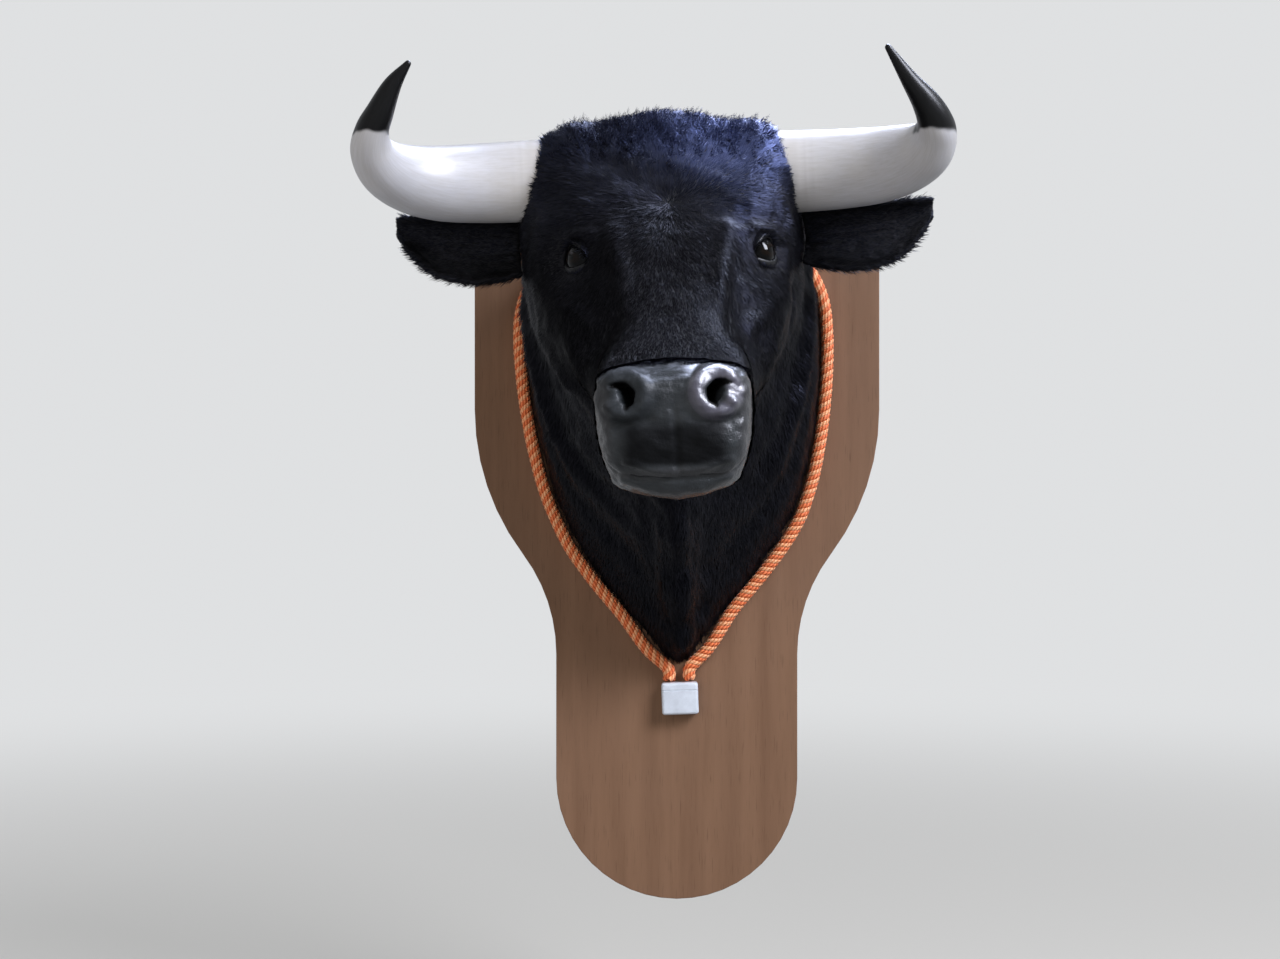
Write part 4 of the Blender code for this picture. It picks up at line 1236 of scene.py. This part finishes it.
def makeHornTree():
    sockets = {"Rows": "Int", "Sides": "Int", "Finish": "Material"}
    sockets |= {"Ring Height": "Float", "Rings": "Float", "Rings Until": "Float"}
    tree, given, result = newTree("horn along a line", sockets)
    rows = addNode(tree, "GeometryNodeResampleCurve", {"Curve": given["Geometry"], "Count": given["Rows"]})
    share = addNode(tree, "GeometryNodeSplineParameter").outputs["Factor"]
    marked = storeOn(tree, rows.outputs[0], "along", share)
    along = namedValue(tree, "along")
    # growth rings: uneven waves that fade out along the horn
    inputs = {"W": along, "Scale": 12.0, "Detail": 0.0}
    uneven = addNode(tree, "ShaderNodeTexNoise", inputs, noise_dimensions="1D").outputs[0]
    shifted = calc(tree, "ADD", along, calc(tree, "MULTIPLY", uneven, 0.05))
    phase = calc(tree, "MULTIPLY", shifted, calc(tree, "MULTIPLY", given["Rings"], 2 * math.pi))
    wave = calc(tree, "ADD", calc(tree, "MULTIPLY", calc(tree, "SINE", phase), 0.5), 0.5)
    wave = calc(tree, "POWER", wave, 1.6)
    fade = span(tree, along, 1.0, 0.0, 0.02, given["Rings Until"], interpolation_type="SMOOTHSTEP")
    lift = calc(tree, "MULTIPLY", calc(tree, "MULTIPLY", wave, fade), given["Ring Height"])
    base = addNode(tree, "GeometryNodeInputRadius").outputs[0]
    radius = calc(tree, "MULTIPLY", base, calc(tree, "ADD", lift, 1.0))
    mesh = sweep(tree, marked, roundProfile(tree, given["Sides"], 1.0), radius)
    return finishTree(tree, mesh, given["Finish"], result)


def tidyMesh(piece, distance=1e-6, sharpDeg=50):
    turnOut(piece.data, distance)
    piece.data.shade_smooth()
    piece.data.set_sharp_from_angle(angle=math.radians(sharpDeg))
    return piece


def makeHorn(name, tree):
    look = hornLook
    line = smoothLine(hornLines[name], look["linePoints"])
    ahead = line[-1, :3] - line[-3, :3]
    ahead /= np.linalg.norm(ahead)
    end, tipRadius = line[-1, :3], line[-1, 3]
    # a rounded point past the last section
    turns = np.radians((25, 50, 70, 85))
    cap = [np.append(end + ahead * tipRadius * math.sin(a), tipRadius * math.cos(a)) for a in turns]
    line = np.vstack([line, cap])
    piece = routeCurve(name, toRow(line[:, :3]), line[:, 3] * 0.001)
    values = {
        "Rows": look["rows"],
        "Sides": look["sides"],
        "Ring Height": look["ringHeight"],
        "Rings": look["ringCount"],
        "Rings Until": look["ringsUntil"],
        "Finish": hornFinish,
    }
    piece = tidyMesh(runTree(piece, tree, values))
    points = pointsOf(piece.data)
    wave = look["tipWave"] * ripple(points * 1000, 15, seed=17)
    level = points[:, 2] * 1000 + wave - look["tipLevel"][name]
    ahead = softSteps(-points[:, 1] * 1000, *look["tipForward"])
    storeValues(piece.data, tip=softSteps(level, -look["tipBlur"], look["tipBlur"]) * ahead)
    return piece


# ears

earLook = {
    "voxel": 0.0011,
    "rounds": 3,
    "hairs": 13000,
    "fringe": 1500,
    "length": 4.4,  # of the hair, in mm, and more on the rims
    "rimExtra": 2.0,
    "middleUp": 196,
    "tipReach": (252, 266),  # the hair is shorter past this
    "strokes": (
        ("ridge", ((140, 176, 196), (180, 170, 196), (220, 172, 202)), 3.5, 1.2),
        ("ridge", ((145, 174, 184), (185, 168, 182), (220, 172, 190)), 3.5, 1.1),
        ("upper rim", ((130, 186, 217), (180, 184, 221), (230, 182, 224), (262, 178, 226)), 3.2, 0.8),
        ("lower rim", ((140, 188, 167), (190, 188, 160), (230, 186, 170), (258, 180, 194)), 3.2, 0.8),
    ),
}


def makeEar(side, name, node):
    look = earLook
    piece = refine(copyNode(node, name), look["voxel"], look["rounds"])
    shape(piece, look["strokes"])
    normals = normalsOf(piece.data)
    heads = toHead(pointsOf(piece.data))
    reach = np.abs(heads[:, 0] + 5)
    out = (heads[:, 2:] - look["middleUp"]) * (0, 0, 0.012) + (side, 0, 0)
    rims = [np.array(line) * (side, 1, 1) for label, line, *_ in look["strokes"] if "rim" in label]
    edge = np.minimum(*(lineDistance(heads, rim) for rim in rims))
    tip = 1 - softSteps(reach, *look["tipReach"])
    fringe = (1 - softSteps(edge, 3, 12)) * softSteps(reach, 125, 160) * tip
    length = (look["length"] + look["rimExtra"] * (1 - softSteps(edge, 2, 9))) * (0.5 + 0.5 * tip)
    storeValues(
        piece.data,
        flow=turnFlow(layFlat(out, normals), normals, 0.25 * ripple(heads, 20, seed=31)),
        coat=np.ones(len(heads)),
        hairLength=length * 0.001,
        fringe=fringe + 0.35 * (1 - softSteps(reach, 135, 175)),
    )
    piece.data.materials.append(hideFinish)
    piece.data.shade_smooth()
    return piece


# the cord round the neck: strands twisted along its route

cordLook = {
    # one half of the route, aside and up in mm, from behind the poll down to the clasp
    "route": (
        (0, 235), (46, 233), (88, 224), (118, 207), (139, 186), (154, 163), (162, 137), (164, 108), (163, 78),
        (160, 42), (153, -5), (141, -55), (121, -104), (94, -145), (63, -184), (36, -221.5), (13, -243),
        (11.5, -255),
    ),
    "forward": 27.3,
    "strandRadius": 0.0031,
    "offset": 0.0039,
    "pitch": 0.021,
    "step": 0.0013,
    "sides": 9,
    "strands": 4,
    "linePoints": 260,
}


def makeCordTree():
    sockets = {"Step": "Float", "Offset": "Float", "Pitch": "Float", "Strand Radius": "Float"}
    sockets |= {"Sides": "Int", "First Finish": "Material", "Second Finish": "Material"}
    tree, given, result = newTree("twisted strands", sockets)
    inputs = {"Curve": given["Geometry"], "Length": given["Step"]}
    rows = addNode(tree, "GeometryNodeResampleCurve", inputs, mode="LENGTH")
    run = addNode(tree, "GeometryNodeSplineParameter").outputs["Length"]
    marked = storeOn(tree, rows.outputs[0], "run", run)
    tangent = addNode(tree, "GeometryNodeInputTangent").outputs[0]
    normal = addNode(tree, "GeometryNodeInputNormal").outputs[0]
    across = vector(tree, "CROSS_PRODUCT", tangent, normal)
    joined = addNode(tree, "GeometryNodeJoinGeometry")
    for k in range(cordLook["strands"]):
        angle = calc(tree, "MULTIPLY", calc(tree, "DIVIDE", run, given["Pitch"]), 2 * math.pi)
        angle = calc(tree, "ADD", angle, 2 * math.pi * k / cordLook["strands"])
        a = vector(tree, "SCALE", normal, scale=calc(tree, "COSINE", angle))
        b = vector(tree, "SCALE", across, scale=calc(tree, "SINE", angle))
        move = vector(tree, "SCALE", vector(tree, "ADD", a, b), scale=given["Offset"])
        strand = addNode(tree, "GeometryNodeSetPosition", {"Geometry": marked, "Offset": move}).outputs[0]
        mesh = sweep(tree, strand, roundProfile(tree, given["Sides"], given["Strand Radius"]), 1.0)
        finish = given["First Finish" if k % 2 else "Second Finish"]
        dressed = addNode(tree, "GeometryNodeSetMaterial", {"Geometry": mesh, "Material": finish}).outputs[0]
        tree.links.new(dressed, joined.inputs[0])
    real = addNode(tree, "GeometryNodeRealizeInstances", {"Geometry": joined.outputs[0]}).outputs[0]
    tree.links.new(real, result)
    return tree


def makeCord():
    look = cordLook
    half = [(x, look["forward"], z) for x, z in look["route"]]
    whole = [(-x, y, z) for x, y, z in reversed(half[1:])] + half
    piece = routeCurve("neckCord", toRow(drawIn(smoothLine(whole, look["linePoints"]))))
    values = {
        "Step": look["step"],
        "Offset": look["offset"],
        "Pitch": look["pitch"],
        "Strand Radius": look["strandRadius"],
        "Sides": look["sides"],
        "First Finish": orangeFinish,
        "Second Finish": goldFinish,
    }
    return tidyMesh(runTree(piece, makeCordTree(), values), 1e-7, 70)


# clasp

claspLook = {
    "wide": 39.0,
    "thick": 17.0,
    "tall": 34.0,
    "aside": -6.0,
    "back": 20.3,
    "top": -258.5,
    "corner": 3.2,
    "seamLevel": 9.0,
    "seamDepth": 0.6,
    "seamWide": 0.55,
}


def makeClasp():
    look = claspLook
    work = bmesh.new()
    bmesh.ops.create_cube(work, size=1.0)
    bmesh.ops.scale(work, vec=(look["wide"], look["thick"], look["tall"]), verts=work.verts)
    bmesh.ops.bevel(work, geom=work.edges[:], offset=look["corner"], segments=6, profile=0.5, affect="EDGES")
    # a shallow seam runs round the block, below its top
    level = look["seamLevel"]
    everything = work.verts[:] + work.edges[:] + work.faces[:]
    cut = bmesh.ops.bisect_plane(work, geom=everything, plane_co=(0, 0, level), plane_no=(0, 0, 1))
    seam = [item for item in cut["geom_cut"] if isinstance(item, bmesh.types.BMEdge)]
    rounded = bmesh.ops.bevel(work, geom=seam, offset=look["seamWide"], segments=2, affect="EDGES")
    for v in rounded["verts"]:
        if abs(v.co.z - level) < 0.05:
            v.co.x *= 1 - look["seamDepth"] / max(abs(v.co.x), 6)
            v.co.y *= 1 - look["seamDepth"] / max(abs(v.co.y), 6)
    mesh = meshFrom(work, "claspBlock")
    middle = (look["aside"], look["back"] + look["thick"] / 2, look["top"] - look["tall"] / 2)
    movePoints(mesh, toRow(pointsOf(mesh) * (1, -1, 1) + middle))
    return tidyMesh(newPiece("claspBlock", mesh, claspFinish), 1e-7, 35)


# everything on the object


def rideAll(piece, slot, *nodes):
    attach(piece, body)
    if nodes:
        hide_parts(*nodes)


hairTree = makeHairTree()
blade = hairBlade()

skin = makeHeadSkin()
rideAll(skin, "black_fur", "head")
print("head skin shaped,", len(skin.data.polygons), "faces")
for coat in makeCoat(skin, hairTree, blade):
    rideAll(coat, "black_fur")
rideAll(makePollCurls(skin, hairTree), "black_fur")
print("coat grown")

muzzle = makeMuzzle()
edgeHair = growHair(muzzle, "muzzleEdgeHair", blade, hairTree, muzzleLook["hairs"], Seed=70, Lift=0.25)
rideAll(edgeHair, "black_fur")
rideAll(muzzle, "grey_muzzle", "muzzle")
for side, word in ((-1, "Left"), (1, "Right")):
    rideAll(makeEye(side, "eye" + word), "black_glass", "eye_" + word.lower())
    lids = makeLids(side, "lids" + word)
    lidHair = growHair(lids, "lidHair" + word, blade, hairTree, lidLook["hairs"], Seed=80 + side)
    lashes = growHair(
        lids, "lashes" + word, blade, hairTree, lidLook["lashes"], Where="lash", Seed=90 + side,
        Lift=1.3, Wander=0.25, Width=0.0007, **{"Length Share": 3.4},
    )
    for grown in (lids, lidHair, lashes):
        rideAll(grown, "black_fur")
    ear = makeEar(side, "ear" + word, "ear_" + word.lower())
    earHair = growHair(
        ear, "earHair" + word, blade, hairTree, earLook["hairs"], Seed=50 + side, Finish=earFinish
    )
    fringe = growHair(
        ear, "earFringe" + word, blade, hairTree, earLook["fringe"], Where="fringe", Seed=60 + side, Lift=0.5,
        Finish=earFinish, **{"Length Share": 1.7},
    )
    rideAll(ear, "black_fur", "ear_" + word.lower())
    for grown in (earHair, fringe):
        rideAll(grown, "black_fur")
print("face and ears made")

hornTree = makeHornTree()
rideAll(makeHorn("hornLeft", hornTree), "pale_horn", "horn_left")
rideAll(makeHorn("hornRight", hornTree), "pale_horn", "horn_right")
rideAll(makeCord(), "orange_cord", "trim_cord")
rideAll(makeClasp(), "white_clasp", "cord_clasp")
print("horns, cord and clasp made")
bpy.data.objects.remove(blade, do_unlink=True)

for node in ("plaque", "hanger", "hanger_nail_left", "hanger_nail_right"):
    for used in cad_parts[node].material_slots:
        used.material = boardFinish if node == "plaque" else steelFinish


# floor, light and camera

studioLook = {
    "floorHeight": -0.66,
    "floorRadius": 30.0,
    "floorColour": (0.56, 0.53, 0.48),
    "floorFade": (0.5, 4.0),  # metres from the middle, over which it turns into the room's colour
    "roomRadius": 29.0,
    "cameraDistance": 2.2,
    "cameraHeight": -0.0427,
    "cameraTurnDeg": 1.03,
    "pixels": (1280, 959),
    "focalPixels": 2037.0,
    "sensorWidth": 36.0,
    "roomColour": (0.74, 0.75, 0.76),
    "skyColour": (0.92, 0.95, 1.0),
    "aim": (0, -0.25, 0.1),
    # place, width, height, power and colour, and whether the lamp is seen in the gloss alone
    # or only fills the shadows, with no reflection
    "lamps": {
        "windowRight": ((1.9, -1.8, 1.7), 1.4, 1.4, 130, (0.86, 0.90, 1.0), False),
        "windowTall": ((1.75, -1.1, 1.8), 0.9, 2.2, 170, (0.84, 0.87, 1.0), True),
        "windowTop": ((0.6, 0.9, 1.9), 1.3, 1.3, 145, (0.66, 0.74, 1.0), True),
        "roomFront": ((-1.4, -2.6, 0.0), 2.4, 2.4, 36, (1.0, 0.97, 0.93), False),
    },
}


def makeFloor():
    # a wide round floor, and a far dome round it that only the camera sees
    look = studioLook
    work = bmesh.new()
    bmesh.ops.create_circle(work, cap_ends=True, segments=96, radius=look["floorRadius"])
    bmesh.ops.translate(work, vec=(0, 0, look["floorHeight"]), verts=work.verts)
    finish, tree, shader = newFinish("paleFloor", (0.6, 0.6, 0.6), 1.0, Specular_IOR_Level=0.0)
    shader.inputs["Emission Color"].default_value = (*look["roomColour"], 1)
    reach = vector(tree, "LENGTH", addNode(tree, "ShaderNodeTexCoord").outputs["Object"])
    fade = span(tree, reach, 0.45, 1.0, *look["floorFade"], interpolation_type="SMOOTHERSTEP")
    lit = mixColours(tree, fade, look["floorColour"], (0, 0, 0))
    feed(tree, shader, Base_Color=lit, Emission_Strength=fade)
    floor = newPiece("floor", meshFrom(work, "floor"), finish)
    work = bmesh.new()
    bmesh.ops.create_icosphere(work, subdivisions=4, radius=look["roomRadius"])
    bmesh.ops.reverse_faces(work, faces=work.faces)
    finish, tree, shader = newFinish(
        "paleRoom", (0, 0, 0), 1.0, Specular_IOR_Level=0.0, Emission_Strength=1.0
    )
    shader.inputs["Emission Color"].default_value = (*look["roomColour"], 1)
    room = newPiece("room", meshFrom(work, "room"), finish)
    room.visible_shadow = False
    for stage in (floor, room):
        stage.visible_diffuse = stage.visible_glossy = stage.visible_transmission = False


def makeLamp(name, at, wide, tall, power, colour, inGloss):
    light = bpy.data.lights.new(name, "AREA")
    light.shape, light.size, light.size_y = "RECTANGLE", wide, tall
    light.energy, light.color = power, colour
    lamp = bpy.data.objects.new(name, light)
    lamp.location = at
    lamp.rotation_euler = (Vector(studioLook["aim"]) - Vector(at)).to_track_quat("-Z", "Y").to_euler()
    lamp.visible_camera = False
    lamp.visible_diffuse, lamp.visible_glossy = not inGloss, inGloss
    bpy.context.scene.collection.objects.link(lamp)


def makeRoomLight():
    # soft light all round, less of it from the front and from below
    world = bpy.data.worlds.new("softLight")
    world.use_nodes = True
    tree = world.node_tree
    way = addNode(tree, "ShaderNodeSeparateXYZ", {0: addNode(tree, "ShaderNodeTexCoord").outputs["Object"]})
    toWall = span(tree, way.outputs["Y"], 0.27, 0.5, -0.3, 0.5)
    fromBelow = span(tree, way.outputs["Z"], 0.9, 1.0, -0.7, 0.2)
    background = tree.nodes["Background"]
    background.inputs["Color"].default_value = (*studioLook["skyColour"], 1)
    tree.links.new(calc(tree, "MULTIPLY", toWall, fromBelow), background.inputs["Strength"])
    bpy.context.scene.world = world
    for name, settings in studioLook["lamps"].items():
        makeLamp(name, *settings)


def makeStudio():
    look = studioLook
    makeFloor()
    makeRoomLight()
    scene = bpy.context.scene
    camera = bpy.data.cameras.new("camera")
    camera.sensor_width = look["sensorWidth"]
    camera.lens = look["sensorWidth"] * look["focalPixels"] / look["pixels"][0]
    camera.clip_end = 200
    holder = bpy.data.objects.new("camera", camera)
    holder.location = (0, -look["cameraDistance"], look["cameraHeight"])
    holder.rotation_euler = (math.pi / 2, 0, math.radians(look["cameraTurnDeg"]))
    scene.collection.objects.link(holder)
    scene.camera = holder
    scene.view_settings.view_transform = "Standard"


makeStudio()
print("studio set")
